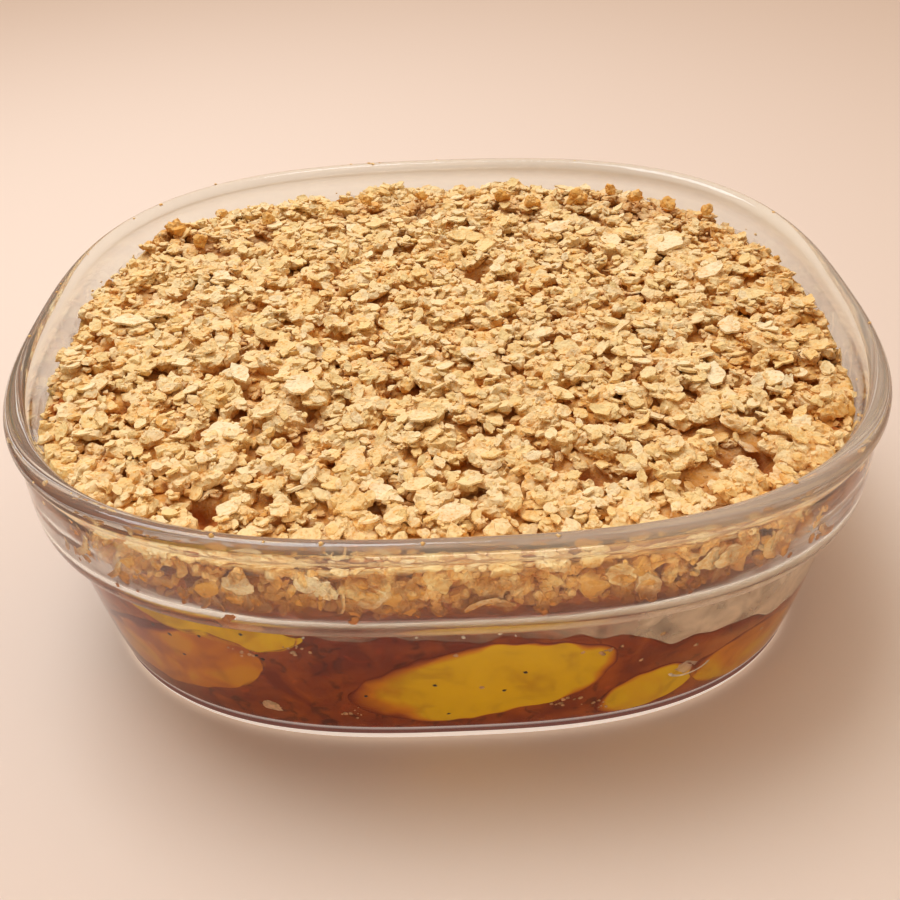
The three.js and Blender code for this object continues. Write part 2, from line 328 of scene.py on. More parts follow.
def to_plan(bm):
    """Squeezes a turned shape into the rounded oblong plan. A flat inner field keeps its proportions."""
    half_length = half_sizes()[0]
    for vert in bm.verts:
        radius = math.hypot(vert.co.x, vert.co.y)
        if radius < 1e-6:
            continue
        angle = math.atan2(vert.co.y, vert.co.x)
        reach = plan_radius(angle, min(half_length - radius, FLAT_INSET))
        reach *= min(1, radius / (half_length - FLAT_INSET))
        vert.co = place_at(angle, reach, vert.co.z)


def turned(profile, steps):
    """A bmesh made by turning a profile of (radius, height) points once round the upright axis."""
    bm = bmesh.new()
    points = [bm.verts.new((radius, 0, height)) for radius, height in profile]
    edges = [bm.edges.new(pair) for pair in zip(points, points[1:])]
    bmesh.ops.spin(bm, geom=points + edges, cent=(0, 0, 0), axis=(0, 0, 1), angle=2 * math.pi,
                   steps=steps, use_merge=True)
    bmesh.ops.remove_doubles(bm, verts=bm.verts, dist=1e-4)
    bmesh.ops.recalc_face_normals(bm, faces=bm.faces)
    return bm


def thicken(bm, thickness):
    """Gives a sheet its thickness."""
    bmesh.ops.recalc_face_normals(bm, faces=bm.faces)
    bmesh.ops.solidify(bm, geom=bm.faces[:], thickness=thickness)
    bmesh.ops.recalc_face_normals(bm, faces=bm.faces)


def add_mesh(name, bm):
    """Turns a bmesh in millimetres into a mesh in metres."""
    bmesh.ops.scale(bm, vec=(MM, MM, MM), verts=bm.verts)
    mesh = bpy.data.meshes.new(name)
    bm.to_mesh(mesh)
    bm.free()
    return mesh


def add_piece(name, mesh, material, slot, *replaced):
    """Puts a finished mesh into the scene as a piece of the part."""
    piece = bpy.data.objects.new(name, mesh)
    bpy.context.scene.collection.objects.link(piece)
    mesh.materials.append(material)
    mesh.shade_smooth()
    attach(piece, BODY)
    if replaced:
        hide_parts(*replaced)
    return piece


def set_baked(mesh, *shades):
    """Writes up to three shades as the colour attribute that the materials read."""
    table = np.zeros((len(mesh.vertices), 4), np.float32)
    table[:, 3] = 1
    for column, shade in enumerate(shades):
        table[:, column] = np.clip(shade, 0, 1)
    attribute = mesh.attributes.new("baked", "FLOAT_COLOR", "POINT")
    attribute.data.foreach_set("color", table.ravel())


# Materials

class Nodes:
    """Short calls that add nodes to a material or to the world."""

    def __init__(self, owner):
        owner.use_nodes = True
        self.owner = owner
        self.tree = owner.node_tree
        self.tree.nodes.clear()

    def add(self, kind, sockets, **options):
        """Adds a node. A socket is given a plain value, or another node's output to link."""
        made = self.tree.nodes.new("ShaderNode" + kind)
        for name, value in options.items():
            setattr(made, name, value)
        for name, value in sockets.items():
            socket = made.inputs[name]
            if isinstance(value, bpy.types.NodeSocket):
                self.tree.links.new(value, socket)
            else:
                socket.default_value = value
        return made.outputs

    @functools.cached_property
    def place(self):
        """Coordinates on the piece, in metres."""
        return self.add("TexCoord", {})["Object"]

    @functools.cached_property
    def axes(self):
        """X, Y and Z of the place."""
        return self.add("SeparateXYZ", {"Vector": self.place})

    @functools.cached_property
    def baked(self):
        """The piece's own attribute as red, green and blue."""
        attribute = self.add("Attribute", {}, attribute_name="baked")
        return self.add("SeparateColor", {"Color": attribute["Color"]})

    def grain(self, size, detail, distortion=0.0):
        """An uneven pattern, from the real size of one of its features in millimetres."""
        return self.add("TexNoise", {"Vector": self.place, "Scale": 1 / (size * MM), "Detail": detail,
                                     "Distortion": distortion})["Fac"]

    def span(self, value, low, high, start, end):
        """A value carried over from the range low to high to the range start to end."""
        return self.add("MapRange", {0: value, 1: low, 2: high, 3: start, 4: end})[0]

    def maths(self, operation, *values, clamp=False):
        """Values added or multiplied."""
        return self.add("Math", dict(enumerate(values)), operation=operation, use_clamp=clamp)[0]

    def ramp(self, factor, *stops):
        """A colour ramp through (position, colour) stops."""
        made = self.add("ValToRGB", {"Fac": factor})
        elements = self.tree.nodes[-1].color_ramp.elements
        while len(elements) < len(stops):
            elements.new(0.5)
        for element, (position, value) in zip(elements, stops):
            element.position = position
            element.color = value
        return made["Color"]

    def mixed(self, share, first, second, blend="MIX"):
        """Two colours mixed."""
        return self.add("Mix", {0: share, 6: first, 7: second}, data_type="RGBA", blend_type=blend)[2]

    def bump(self, height, strength, distance):
        """Relief from a pattern, with its greatest height in millimetres."""
        return self.add("Bump", {"Height": height, "Strength": strength, "Distance": distance * MM})["Normal"]

    def surface(self, base, rough, **sockets):
        """A plain surface. Names of sockets have underscores in place of spaces."""
        named = {name.replace("_", " "): value for name, value in sockets.items()}
        return self.add("BsdfPrincipled", {"Base Color": base, "Roughness": rough, **named})[0]

    def blend(self, share, first, second):
        """Two surfaces mixed."""
        return self.add("MixShader", {0: share, 1: first, 2: second})[0]

    def film(self, cover, base, level):
        """A thin film that lets through what it doesn't cover."""
        clear = self.add("BsdfTransparent", {})[0]
        return self.done(self.blend(cover, clear, self.surface(base, 0.5, Specular_IOR_Level=level)))

    def done(self, surface, kind="Material"):
        """Links the output, and gives back the material or the world."""
        self.add("Output" + kind, {"Surface": surface})
        return self.owner


def grey(share):
    """A grey for a ramp."""
    return share, share, share, 1


def finish(name):
    """A new material, ready for nodes."""
    return Nodes(bpy.data.materials.new(name))


def pressed_glass():
    """Soda-lime glass, pressed in a mould: clear and wavy.

    The foot is painted matt white and given a painted glow, standing in for light that the glass floor
    leads there from behind, so that its line is bright all round. Above the foot the glass is painted in
    the juice's colour, a painted view of the fruit through the thick floor. The bead and the shoulder
    line get painted milky light, stronger at the right.
    """
    nodes = finish("Pressed soda-lime glass")
    wave = nodes.bump(nodes.grain(24, 1.5), 0.6, 0.6)
    dish = nodes.surface(settings("dish").tint[:], 0.02, IOR=1.45, Transmission_Weight=1.0, Normal=wave)
    x, z = nodes.axes["X"], nodes.axes["Z"]
    # Painted view of the fruit: low down, above the foot, the glass is painted in the juice's colour
    low, high = FRUIT_VIEW_HEIGHTS
    painted_fruit_view = nodes.surface(settings("fruit").juice[:], 0.5, Specular_IOR_Level=0.1)
    dish = nodes.blend(nodes.span(z, low * MM, high * MM, 0.0, 0.85), dish, painted_fruit_view)
    # Painted light: the foot is painted white and glows, standing in for light that the glass floor leads
    # there from behind
    level = nodes.maths("MULTIPLY_ADD", nodes.maths("MULTIPLY", x, x), FOOT_RISE, z)
    low, high = FOOT_HEIGHTS
    glowing_foot = nodes.surface(linear("#FFFFFF"), 0.3, IOR=1.5, Emission_Color=linear("#FFF4EA"),
                           Emission_Strength=0.34)
    dish = nodes.blend(nodes.span(level, low * MM, high * MM, 0.0, 0.92), dish, glowing_foot)
    # Painted light: a milky pale surface along the shoulder line and on the bead, stronger at the right
    share = nodes.span(z, 0.0, PAINTED_LIGHT_TOP * MM, 0.0, 1.0)
    painted_light = nodes.ramp(share, *((height / PAINTED_LIGHT_TOP, grey(part)) for height, part in PAINTED_GLASS_LIGHT))
    painted_light = nodes.maths("MULTIPLY", painted_light, nodes.span(x, -60 * MM, 60 * MM, 0.5, 1.3))
    dish = nodes.blend(painted_light, dish, nodes.surface(linear("#EADCCA"), 0.12, IOR=1.5))
    clear = nodes.add("BsdfTransparent", {"Color": linear("#F2F5F2")})[0]
    return nodes.done(nodes.blend(nodes.add("LightPath", {})["Is Shadow Ray"], dish, clear))


def stewed_fruit():
    """Fruit stewed soft in its own juice: dark, with lighter strands of pulp and specks of skin.

    Juice wets the glass, so the two hardly mirror where they touch. The piece's own attribute holds
    as red how much painted backlight shows: fruit painted lighter where light shines through it.
    """
    fruit = settings("fruit")
    nodes = finish("Stewed fruit")
    strand = nodes.grain(4, 4.0, 0.8)
    base = nodes.ramp(nodes.grain(17, 5.0, 1.4), (0.4, fruit.juice[:]), (0.68, fruit.pulp[:]))
    skin = nodes.ramp(strand, (0.33, (0.5, 0.45, 0.45, 1)), (0.45, grey(1)), (0.62, grey(1)),
                      (0.78, (1.7, 1.6, 1.4, 1)))
    base = nodes.mixed(1.0, base, skin, "MULTIPLY")
    # Painted backlight: the fruit is painted lighter and oranger where light shines through it
    base = nodes.mixed(nodes.baked["Red"], base, fruit.soft[:])
    return nodes.done(nodes.surface(base, 0.35, IOR=1.36, Specular_IOR_Level=0.1,
                                    Normal=nodes.bump(strand, 0.5, 1.0)))


def fruit_flesh():
    """Ripe yellow fruit, cut and baked soft: smooth and wet, browner where it has taken up juice.

    The piece's own attribute holds how near a point is to its rim as red, and the juice as green.
    """
    fruit = settings("fruit")
    nodes = finish("Baked fruit flesh")
    blotch = nodes.span(nodes.grain(16, 4.0, 0.6), 0.38, 0.7, 0.0, 0.28)
    soaked = nodes.maths("ADD", blotch, nodes.baked["Green"])
    soaked = nodes.maths("ADD", soaked, nodes.baked["Red"], clamp=True)
    base = nodes.ramp(soaked, (0.0, fruit.slice[:]), (0.35, fruit.slice[:]), (0.6, fruit.slice_edge[:]),
                      (0.82, fruit.pulp[:]), (1.0, fruit.juice[:]))
    vein = nodes.ramp(nodes.grain(10, 5.0, 0.6), (0.34, (0.78, 0.7, 0.7, 1)), (0.5, grey(1)),
                      (0.7, (1.06, 1.08, 1.2, 1)))
    base = nodes.mixed(1.0, base, vein, "MULTIPLY")
    return nodes.done(nodes.surface(base, 0.35, IOR=1.36, Specular_IOR_Level=0.1))


def baked_crumb(name, pale):
    """Flour, butter and oats rubbed together and baked: dry and sandy, with painted shade that makes
    them darker and browner down in the gaps.

    The piece's own attribute holds tint, painted shade in the gaps, and toasting with painted brown
    shade as red, green and blue.
    """
    crumble = settings("crumble")
    nodes = finish(name)
    sand, rub, grit = nodes.grain(1.5, 4.0), nodes.grain(5, 2.0), nodes.grain(0.8, 1.0)
    pits = nodes.span(grit, 0.44, 0.36, 0.0, 0.42)
    base = nodes.mixed(nodes.baked["Red"], crumble.golden[:], pale[:])
    toast = nodes.maths("SUBTRACT", nodes.maths("ADD", sand, rub), 1.0)
    # The attribute's blue holds toasting and the painted brown shade of small gaps
    toast = nodes.maths("MULTIPLY_ADD", toast, 1.3, nodes.baked["Blue"])
    toast = nodes.maths("ADD", toast, pits, clamp=True)
    base = nodes.mixed(toast, base, crumble.toast_and_gap_brown[:])
    # Painted shade: deep gaps are darkened towards the gap shade colour
    base = nodes.mixed(nodes.baked["Green"], base, crumble.gap_shade_colour[:])
    rough = nodes.maths("MULTIPLY_ADD", grit, 0.4, sand)
    return nodes.done(nodes.surface(base, 0.85, Specular_IOR_Level=0.2, Normal=nodes.bump(rough, 0.9, 0.75)))


def condensed_steam():
    """Steam that has settled on the cool glass: a thin film of droplets, milky and uneven."""
    nodes = finish("Condensed steam")
    cover = nodes.span(nodes.grain(9, 6.0, 0.5), 0.3, 0.7, 0.12, 0.62)
    thick = nodes.span(nodes.axes["X"], 20 * MM, 48 * MM, 0.2, 1.0)
    return nodes.film(nodes.maths("MULTIPLY", cover, thick), linear("#F8DCC0"), 0.2)


def butter_smear():
    """Butter and juice smeared on the glass by the crumbs: thin, uneven, and browner low down."""
    nodes = finish("Butter and juice smear")
    low = nodes.span(nodes.axes["Z"], 60 * MM, 51 * MM, 0.0, 0.26)
    cover = nodes.span(nodes.grain(9, 5.0, 0.8), 0.42, 0.68, 0.02, 0.28)
    tone = nodes.ramp(low, (0.03, linear("#B8702E")), (0.2, linear("#7E3C20")))
    return nodes.film(nodes.maths("ADD", cover, low), tone, 0.1)


def small_thing(name, code, rough):
    """Plain finish for specks, bubbles and flakes that are too small to show much grain."""
    nodes = finish(name)
    dark = tuple(0.6 * part for part in linear(code)[:3]) + (1.0,)
    base = nodes.ramp(nodes.grain(1.5, 2.0), (0.35, dark), (0.6, linear(code)))
    return nodes.done(nodes.surface(base, rough, Specular_IOR_Level=0.3))


def painted_board():
    """Matt painted board for the floor: plain and pale."""
    nodes = finish("Matt painted board")
    return nodes.done(nodes.surface(settings("stage").floor[:], 0.7, Specular_IOR_Level=0.15))


# Dish

class CRUMBLE_OT_dish(bpy.types.Operator):
    """Build the glass dish"""

    bl_idname = "crumble.dish"
    bl_label = "Glass Dish"

    def execute(self, context):
        half_length = half_sizes()[0]
        bead = arc(BEAD_RADIUS, settings("dish").height / MM - BEAD_RADIUS, BEAD_RADIUS, -50, 180, BEAD_STEPS)
        lower = [(float(body_inset(h)), h) for h in BODY_HEIGHTS]
        profile = [(half_length, 0), (MIDDLE_INSET, 0), (FLAT_INSET, 0), *BASE_EDGE, *lower, *SHOULDER,
                   *BAND, *bead, *inside_profile(), (FLAT_INSET + 3, FLOOR), (MIDDLE_INSET, FLOOR),
                   (half_length, FLOOR)]
        bm = turned([(half_length - inset, h) for inset, h in profile], ROUND_STEPS)
        to_plan(bm)
        piece = add_piece("glass_dish_clear", add_mesh("glass_dish_clear", bm), pressed_glass(),
                          "clear_glass", "glass_dish")
        modifier = piece.modifiers.new("Smooth", "SUBSURF")
        modifier.levels = modifier.render_levels = 2
        return {"FINISHED"}


# Fruit

def fruit_line(angle):
    """Height of the wavy line where crumble meets fruit."""
    wave = 0.6 * np.sin(3 * angle + 0.5) + 0.4 * np.sin(7 * angle + 2)
    return settings("fruit").level / MM + LEVEL_WAVE * wave


def fruit_drop(angle):
    """How far below the crumble the fruit leaves the glass, in a direction."""
    drop = np.interp(np.degrees(angle), *zip(*FRUIT_DROPS))
    ripple = 0.8 * np.sin(23 * angle) + 0.6 * np.sin(41 * angle + 1) + 0.4 * np.sin(67 * angle + 2)
    return drop + ripple * np.minimum(1, drop / 6)


def painted_backlight(angle):
    """How much painted backlight shows, in a direction."""
    return np.interp(np.degrees(angle), *zip(*PAINTED_BACKLIGHT))


def fruit_recess(angle):
    """How far the fruit stands back from the glass above the place where it leaves it."""
    share = np.clip((fruit_drop(angle) - 13) / 6, 0, 1)
    return SHALLOW_RECESS + (DEEP_RECESS - SHALLOW_RECESS) * share


class CRUMBLE_OT_fruit(bpy.types.Operator):
    """Build the stewed fruit and its slices"""

    bl_idname = "crumble.fruit"
    bl_label = "Stewed Fruit"

    def execute(self, context):
        self.stew()
        flesh = fruit_flesh()
        for name, row in SLICES.items():
            self.slice_of_fruit(name, *row, flesh)
        return {"FINISHED"}

    def stew(self):
        """Turned as a plain drum with rows 0 to 1 up the glass and 1 to 2 back from it, then fitted."""
        base = [(DRUM * share, 0.0) for share in np.linspace(0, 1, 14)]
        wall = [(DRUM, share) for share in np.linspace(0, 1, WALL_ROWS + 1)[1:]]
        back = [(DRUM, 1 + share) for share in np.linspace(0, 1, RECESS_ROWS + 1)[1:]]
        top = [(DRUM * share, 2.0) for share in np.linspace(1, 0, 8)[1:]]
        bm = turned(base + wall + back + top, FRUIT_STEPS)
        x, y, row = rows_of(bm)
        share, angle = np.hypot(x, y) / DRUM, np.arctan2(y, x)
        line = fruit_line(angle)
        leaves = line - fruit_drop(angle)
        rise = np.clip(row - 1, 0, 1)
        floor = FLOOR - INTO_GLASS
        height = np.where(row <= 1, floor + (leaves - floor) * row, leaves + (line - leaves) * rise ** 1.8)
        rough = np.array([noise.noise(Vector((90 * math.cos(a), 90 * math.sin(a), h)) / 4)
                          for a, h in zip(angle, height)])
        inset = inside_inset(height) - INTO_GLASS + fruit_recess(angle) * (1 - (1 - rise) ** 2.2)
        inset += 1.1 * np.minimum(1, 6 * rise) * (0.5 + rough)
        move(bm, places_at(angle, plan_radius(angle, inset) * share, height))
        bmesh.ops.recalc_face_normals(bm, faces=bm.faces)
        mesh = add_mesh("fruit_stew", bm)
        # Painted backlight, faded out near the floor and near where the fruit leaves the glass
        light = painted_backlight(angle) * np.clip((height - 3) / 6, 0, 1) * np.clip((leaves - 1 - height) / 4, 0, 1)
        set_baked(mesh, light * (0.75 + 0.5 * rough))
        add_piece("fruit_stew", mesh, stewed_fruit(), "fruit_compote", "fruit_filling")

    def slice_of_fruit(self, name, at, half, lean, juice, fading, material):
        """One plump slice, pressed against the glass."""
        half_length, half_width = half_sizes()
        bm = bmesh.new()
        bmesh.ops.create_icosphere(bm, subdivisions=6, radius=1.0)
        along, up, deep = half
        outward = math.atan2(at[1] * (half_length / half_width) ** 2, at[0])
        turn = (Matrix.Translation(at) @ Matrix.Rotation(outward + math.pi / 2, 4, "Z")
                @ Matrix.Rotation(math.radians(-lean), 4, "Y")
                @ Matrix.Diagonal((along, deep, up, 1)))
        bmesh.ops.transform(bm, matrix=turn, verts=bm.verts)
        for vert in bm.verts:
            vert.co += 2.2 * noise.noise_vector(vert.co / 17) + 0.8 * noise.noise_vector(vert.co / 5)
        x, y, z = rows_of(bm)
        angle, radius = np.arctan2(y, x), np.hypot(x, y)
        z = np.clip(z, FLOOR - INTO_GLASS, fruit_line(angle) - fruit_drop(angle) - 0.2)
        limit = plan_radius(angle, inside_inset(z) - SLICE_INTO_GLASS)
        factor = np.minimum(1, limit / radius)
        move(bm, np.stack([x * factor, y * factor, z], axis=1))
        rough = np.array([noise.noise(vert.co / 7) for vert in bm.verts])
        aside = (x - at[0]) * -math.sin(outward) + (y - at[1]) * math.cos(outward)
        fade = 4 + 4 * rough + fading * np.clip(-aside / along, 0, 1)
        near_rim = 0.95 * np.clip(1 - (radius - limit) / np.maximum(fade, 1), 0, 1) ** 1.2
        # Where painted backlight shows, the slices' rims are painted lighter too
        near_rim *= 1 - 0.8 * painted_backlight(angle)
        mesh = add_mesh(name, bm)
        set_baked(mesh, near_rim, juice)
        add_piece(name + "_flesh", mesh, material, "fruit_slice", name)


# Crumble

class Draws:
    """The same seeded draws as in the part's source, so that the large crumbs lie where its solids do."""

    def __init__(self):
        self.seed = 20261130

    def between(self, low, high):
        """The next number from low to high."""
        self.seed = (self.seed * 16807) % 2147483647
        return low + (high - low) * self.seed / 2147483647


def lumps(x, y):
    """Long low unevenness of the crumble's top."""
    broad = np.sin(x / 7.3 + 1.1 * np.sin(y / 11)) * np.cos(y / 6.1 + 0.7 * np.sin(x / 13))
    return broad + 0.6 * np.sin(x / 3.9 + 2) * np.sin(y / 4.3 + 1)


def crumble_top(x, y):
    """Height of the crumble before its crumbs."""
    half_length, half_width = half_sizes()
    edge = np.hypot(x / half_length, y / half_width)
    return settings("crumble").edge / MM + DOME * (1 - edge ** 2) + LUMP * lumps(x, y)


def in_hole(x, y):
    """How far a place lies inside one of the deep holes, from 0 to 1."""
    share = 0 * x
    for hole_x, hole_y, radius in HOLES:
        share = np.maximum(share, 1 - np.hypot(x - hole_x, (y - hole_y) * 1.3) / radius)
    return share


class HeightMap:
    """The top of the heap as a grid of heights, on which crumbs are dropped one after the other."""

    CELL = 0.75

    def __init__(self):
        self.x, self.y = [np.arange(-half, half, self.CELL) for half in half_sizes()]
        x, y = np.meshgrid(self.x, self.y, indexing="ij")
        self.height = crumble_top(x, y) - HOLE_DEPTH * np.minimum(1, 1.6 * in_hole(x, y))

    def oval(self, x, y, long, wide, turn):
        """The cells that an oval crumb covers, and how far it bulges over each, from 0 to 1."""
        reach = max(long, wide) / self.CELL
        cells, away = [], []
        for line, at in ((self.x, x), (self.y, y)):
            middle = (at - line[0]) / self.CELL
            cells.append(slice(max(0, int(middle - reach)), int(middle + reach) + 2))
            away.append(line[cells[-1]] - at)
        dx, dy = away[0][:, None], away[1][None, :]
        u = (dx * math.cos(turn) + dy * math.sin(turn)) / long
        v = (dy * math.cos(turn) - dx * math.sin(turn)) / wide
        return tuple(cells), np.sqrt(np.clip(1 - u * u - v * v, 0, 1))

    def rest(self, x, y, z, long, wide, tall, turn):
        """Marks an oval crumb whose place is given."""
        cells, bulge = self.oval(x, y, long, wide, turn)
        patch = self.height[cells]
        self.height[cells] = np.where(bulge > 0, np.maximum(patch, z + tall * bulge), patch)

    def settle(self, x, y, long, wide, tall, turn, sink, share, rise=LAYER):
        """Drops an oval crumb, and returns the height of its middle."""
        cells, bulge = self.oval(x, y, long, wide, turn)
        top = float(crumble_top(x, y))
        if not bulge.any():
            return top
        z = float(np.quantile(self.height[cells][bulge > 0], share)) + tall * (1 - sink)
        z = min(z, top + rise - tall)
        self.rest(x, y, z, long, wide, tall, turn)
        return z

    def at(self, x, y, table):
        """Heights at places between the cells of a table."""
        i = np.clip((x - self.x[0]) / self.CELL, 0, len(self.x) - 1.001)
        j = np.clip((y - self.y[0]) / self.CELL, 0, len(self.y) - 1.001)
        i0, j0 = i.astype(int), j.astype(int)
        di, dj = i - i0, j - j0
        low = table[i0, j0] * (1 - di) + table[i0 + 1, j0] * di
        high = table[i0, j0 + 1] * (1 - di) + table[i0 + 1, j0 + 1] * di
        return low * (1 - dj) + high * dj

    def envelope(self, reach):
        """A smooth sheet over the crumbs' tops."""
        sheet = self.height
        for together in (np.max, np.mean):
            for axis in (0, 1):
                sheet = together([np.roll(sheet, k, axis) for k in range(-reach, reach + 1)], axis=0)
        return sheet


def press_inside(points):
    """Holds points inside the glass: what would pass through it is pressed flat against it.

    Near the bead, which enlarges what touches it, they are held back from the glass.
    """
    angle = np.arctan2(points[:, 1], points[:, 0])
    radius = np.hypot(points[:, 0], points[:, 1])
    clear = 2 * np.clip((points[:, 2] - 67.5) / 2.5, 0, 1)
    limit = plan_radius(angle, inside_inset(points[:, 2]) - INTO_GLASS + clear)
    points[:, :2] *= np.minimum(1, limit / np.maximum(radius, 1e-6))[:, None]


def crumb_shape(seed, subdivisions, flat=0.0):
    """One broken crumb in a unit ball, with blunt flat sides, cracks and grit: points and triangles.

    A flat one has its top and its underside cut off.
    """
    random = np.random.default_rng(seed)
    ways = random.normal(size=(CRUMB_SIDES, 3))
    ways /= np.linalg.norm(ways, axis=1)[:, None]
    depths = random.uniform(0.62, 1.0, CRUMB_SIDES)
    if flat:
        ways[:2] = [(0.12, 0.1, 0.98), (-0.1, 0.1, -0.98)]
        depths[:2] = flat
    bm = bmesh.new()
    bmesh.ops.create_icosphere(bm, subdivisions=subdivisions, radius=1.0)
    offset = Vector(random.uniform(-50, 50, 3))
    for vert in bm.verts:
        way = vert.co.normalized()
        facing = np.clip(ways @ np.array(way) / depths, 0, None)
        radius = min(1.15, float(max(1e-6, (facing ** BLUNT).sum()) ** (-1 / BLUNT)))
        radius *= 1 + 0.2 * noise.noise(way * 1.5 + offset) + 0.13 * noise.noise(way * 6 + offset)
        near, far = noise.voronoi(way * 2.2 + offset)[0][:2]
        radius -= 0.2 * max(0.0, 1 - (far - near) / 0.22)
        vert.co = way * radius
    points, triangles = take_arrays(bm)
    return points / np.abs(points).max(axis=0), triangles


def crumb_shapes(first, count, *form):
    """Several crumbs that differ."""
    return [crumb_shape(first + k, *form) for k in range(count)]


def flake_shape(seed, sides, thickness, tip):
    """One thin flake about a unit disc, a little curled and chipped: its points and triangles."""
    bm = bmesh.new()
    bmesh.ops.create_circle(bm, segments=sides, radius=1.0, cap_ends=True, cap_tris=True)
    bmesh.ops.subdivide_edges(bm, edges=bm.edges, cuts=1, use_grid_fill=True)
    bmesh.ops.triangulate(bm, faces=bm.faces)
    offset = Vector((seed * 2.3, seed * 4.1, 0))
    for vert in bm.verts:
        x, y = vert.co.x, vert.co.y
        chip = 1 + 0.34 * noise.noise(Vector((x, y, 0)) * 1.6 + offset)
        curl = 0.05 * (x * x - 0.4) + 0.1 * noise.noise(Vector((x, y, 1)) * 1.1 + offset)
        vert.co = (x * chip, y * chip * (1 - tip * max(0.0, x)), curl)
    thicken(bm, thickness)
    bmesh.ops.triangulate(bm, faces=bm.faces)
    return take_arrays(bm)


def take_arrays(bm):
    """Points and triangles of a bmesh as arrays."""
    bm.verts.index_update()
    points = rows_of(bm).T
    triangles = np.array([[vert.index for vert in face.verts] for face in bm.faces])
    bm.free()
    return points, triangles


def at_corner(angle):
    """How far round a corner a direction is. There the crumbs hardly touch the glass."""
    return float(np.clip((abs(math.cos(angle)) - 0.74) / 0.08, 0, 1))


def sized(sizes, *turns):
    """A matrix with three sizes and then turns, each an angle and its axis, the last turn first."""
    result = Matrix.Identity(3)
    for angle, axis in turns:
        result = result @ Matrix.Rotation(angle, 3, axis)
    return np.array(result @ Matrix.Diagonal(sizes))


class Scatter:
    """Copies of a few shapes at many places, joined into one mesh."""

    def __init__(self, shapes, ceiling=CEILING):
        self.shapes = shapes
        self.ceiling = ceiling
        self.copies = [[] for shape in shapes]

    def put(self, index, turn, place, tint, toast):
        """Notes one copy: a 3 x 3 matrix for its turn and size, its place, and its colour."""
        self.copies[index % len(self.shapes)].append((turn, place, tint, toast))

    def joined(self):
        """Points, triangles, tints and toasting of all copies."""
        parts, start = [], 0
        for (points, triangles), copies in zip(self.shapes, self.copies):
            if not copies:
                continue
            turns, places = [np.array([copy[k] for copy in copies]) for k in (0, 1)]
            placed = np.einsum("nij,vj->nvi", turns, points) + places[:, None, :]
            tallest = placed[:, :, 2].max(axis=1, keepdims=True)
            placed[:, :, 2] -= np.maximum(0, tallest - self.ceiling)
            shades = np.array([copy[2:] for copy in copies])
            offsets = start + len(points) * np.arange(len(copies))
            parts.append((placed.reshape(-1, 3), (triangles[None] + offsets[:, None, None]).reshape(-1, 3),
                          np.repeat(shades, len(points), axis=0)))
            start += len(points) * len(copies)
        points, triangles, shades = [np.concatenate(part) for part in zip(*parts)]
        return points, triangles, *shades.T

    def piece(self, name, material, shading=None, crease=None, slot="crumble", replaced=("crumble_topping",)):
        """All copies as one piece. With a shading, they are held inside the glass, and points get painted
        shade, darker and browner the deeper they lie."""
        points, triangles, tint, toast = self.joined()
        dark = 0 * tint
        if shading:
            press_inside(points)
            # Painted shade: dark for deep gaps, and brown added to the toasting for small ones
            dark, brown = shading(points)
            toast = toast + brown
        mesh = bpy.data.meshes.new(name)
        mesh.vertices.add(len(points))
        mesh.vertices.foreach_set("co", (points * MM).astype(np.float32).ravel())
        mesh.loops.add(triangles.size)
        mesh.loops.foreach_set("vertex_index", triangles.astype(np.int32).ravel())
        mesh.polygons.add(len(triangles))
        mesh.polygons.foreach_set("loop_start", np.arange(0, triangles.size, 3, dtype=np.int32))
        mesh.update(calc_edges=True)
        set_baked(mesh, tint, dark, toast)
        add_piece(name, mesh, material, slot, *replaced)
        if crease:
            mesh.set_sharp_from_angle(angle=math.radians(crease))


def painted_gap_shading(points, sheets, heights):
    """Painted shade from how far down between the crumbs points lie: how dark for the deep gaps, how
    brown for small ones.

    The painted shade is weaker at the back.
    """
    fine, coarse = [heights.at(points[:, 0], points[:, 1], sheet) - points[:, 2] for sheet in sheets]
    shade_share = 1 - 0.65 * np.clip((points[:, 1] / half_sizes()[1] - 0.1) / 0.6, 0, 1)
    dark = 0.9 * np.clip((coarse - 3.2) / 4.6, 0, 1) ** 1.2
    return dark * shade_share, np.clip((fine - 1.1) / 4.2, 0, 0.55) * shade_share


def side_shade_and_soak(points):
    """The same for points behind the glass: painted shade, darker and browner farther back from the
    glass; darker and browner low down too, where juice has risen.
    """
    radius = np.hypot(points[:, 0], points[:, 1])
    back = plan_radius(np.arctan2(points[:, 1], points[:, 0]), inside_inset(points[:, 2])) - radius
    soaked = np.clip((61 - points[:, 2]) / 9, 0, 1)
    # Painted shade by the distance back from the glass; the soaked part is the juice's own stain
    dark = np.clip((back - 1.6) / 3, 0, 1) + 0.06 + 0.75 * soaked
    return dark, 0.12 + np.clip((back - 0.5) / 3, 0, 0.7) + 0.5 * soaked


def toasting(x, y):
    """How brown the crumble is at a place: most along the glass at the right, then at the left and round the
    rim, a little less at the back.
    """
    x, y = np.asarray(x) / half_sizes()[0], np.asarray(y) / half_sizes()[1]
    right = np.clip((x - 0.55) * 2.2, 0, 1)
    back = np.clip((y - 0.62) * 2.2, 0, 1)
    left = np.clip((-x - 0.72) * 1.8, 0, 1)
    rim = np.clip((np.hypot(x, y) - 0.78) * 2.2, 0, 1)
    return np.clip(0.06 + 0.3 * right - 0.06 * back + 0.2 * left + 0.1 * rim, 0, 1)


def spread(draws, spacing, edge_inset):
    """The part's own places, spread evenly over the oblong and each shifted a little."""
    half_length, half_width = half_sizes()
    row_step = spacing * 0.866
    rows = math.ceil(half_width / row_step)
    columns = math.ceil(half_length / spacing) + 1
    for row in range(-rows, rows + 1):
        for column in range(-columns, columns + 1):
            x = (column + 0.5 * (row % 2)) * spacing + draws.between(-0.3, 0.3) * spacing
            y = row * row_step + draws.between(-0.3, 0.3) * spacing
            if math.hypot(x, y) < plan_radius(math.atan2(y, x), edge_inset):
                yield x, y


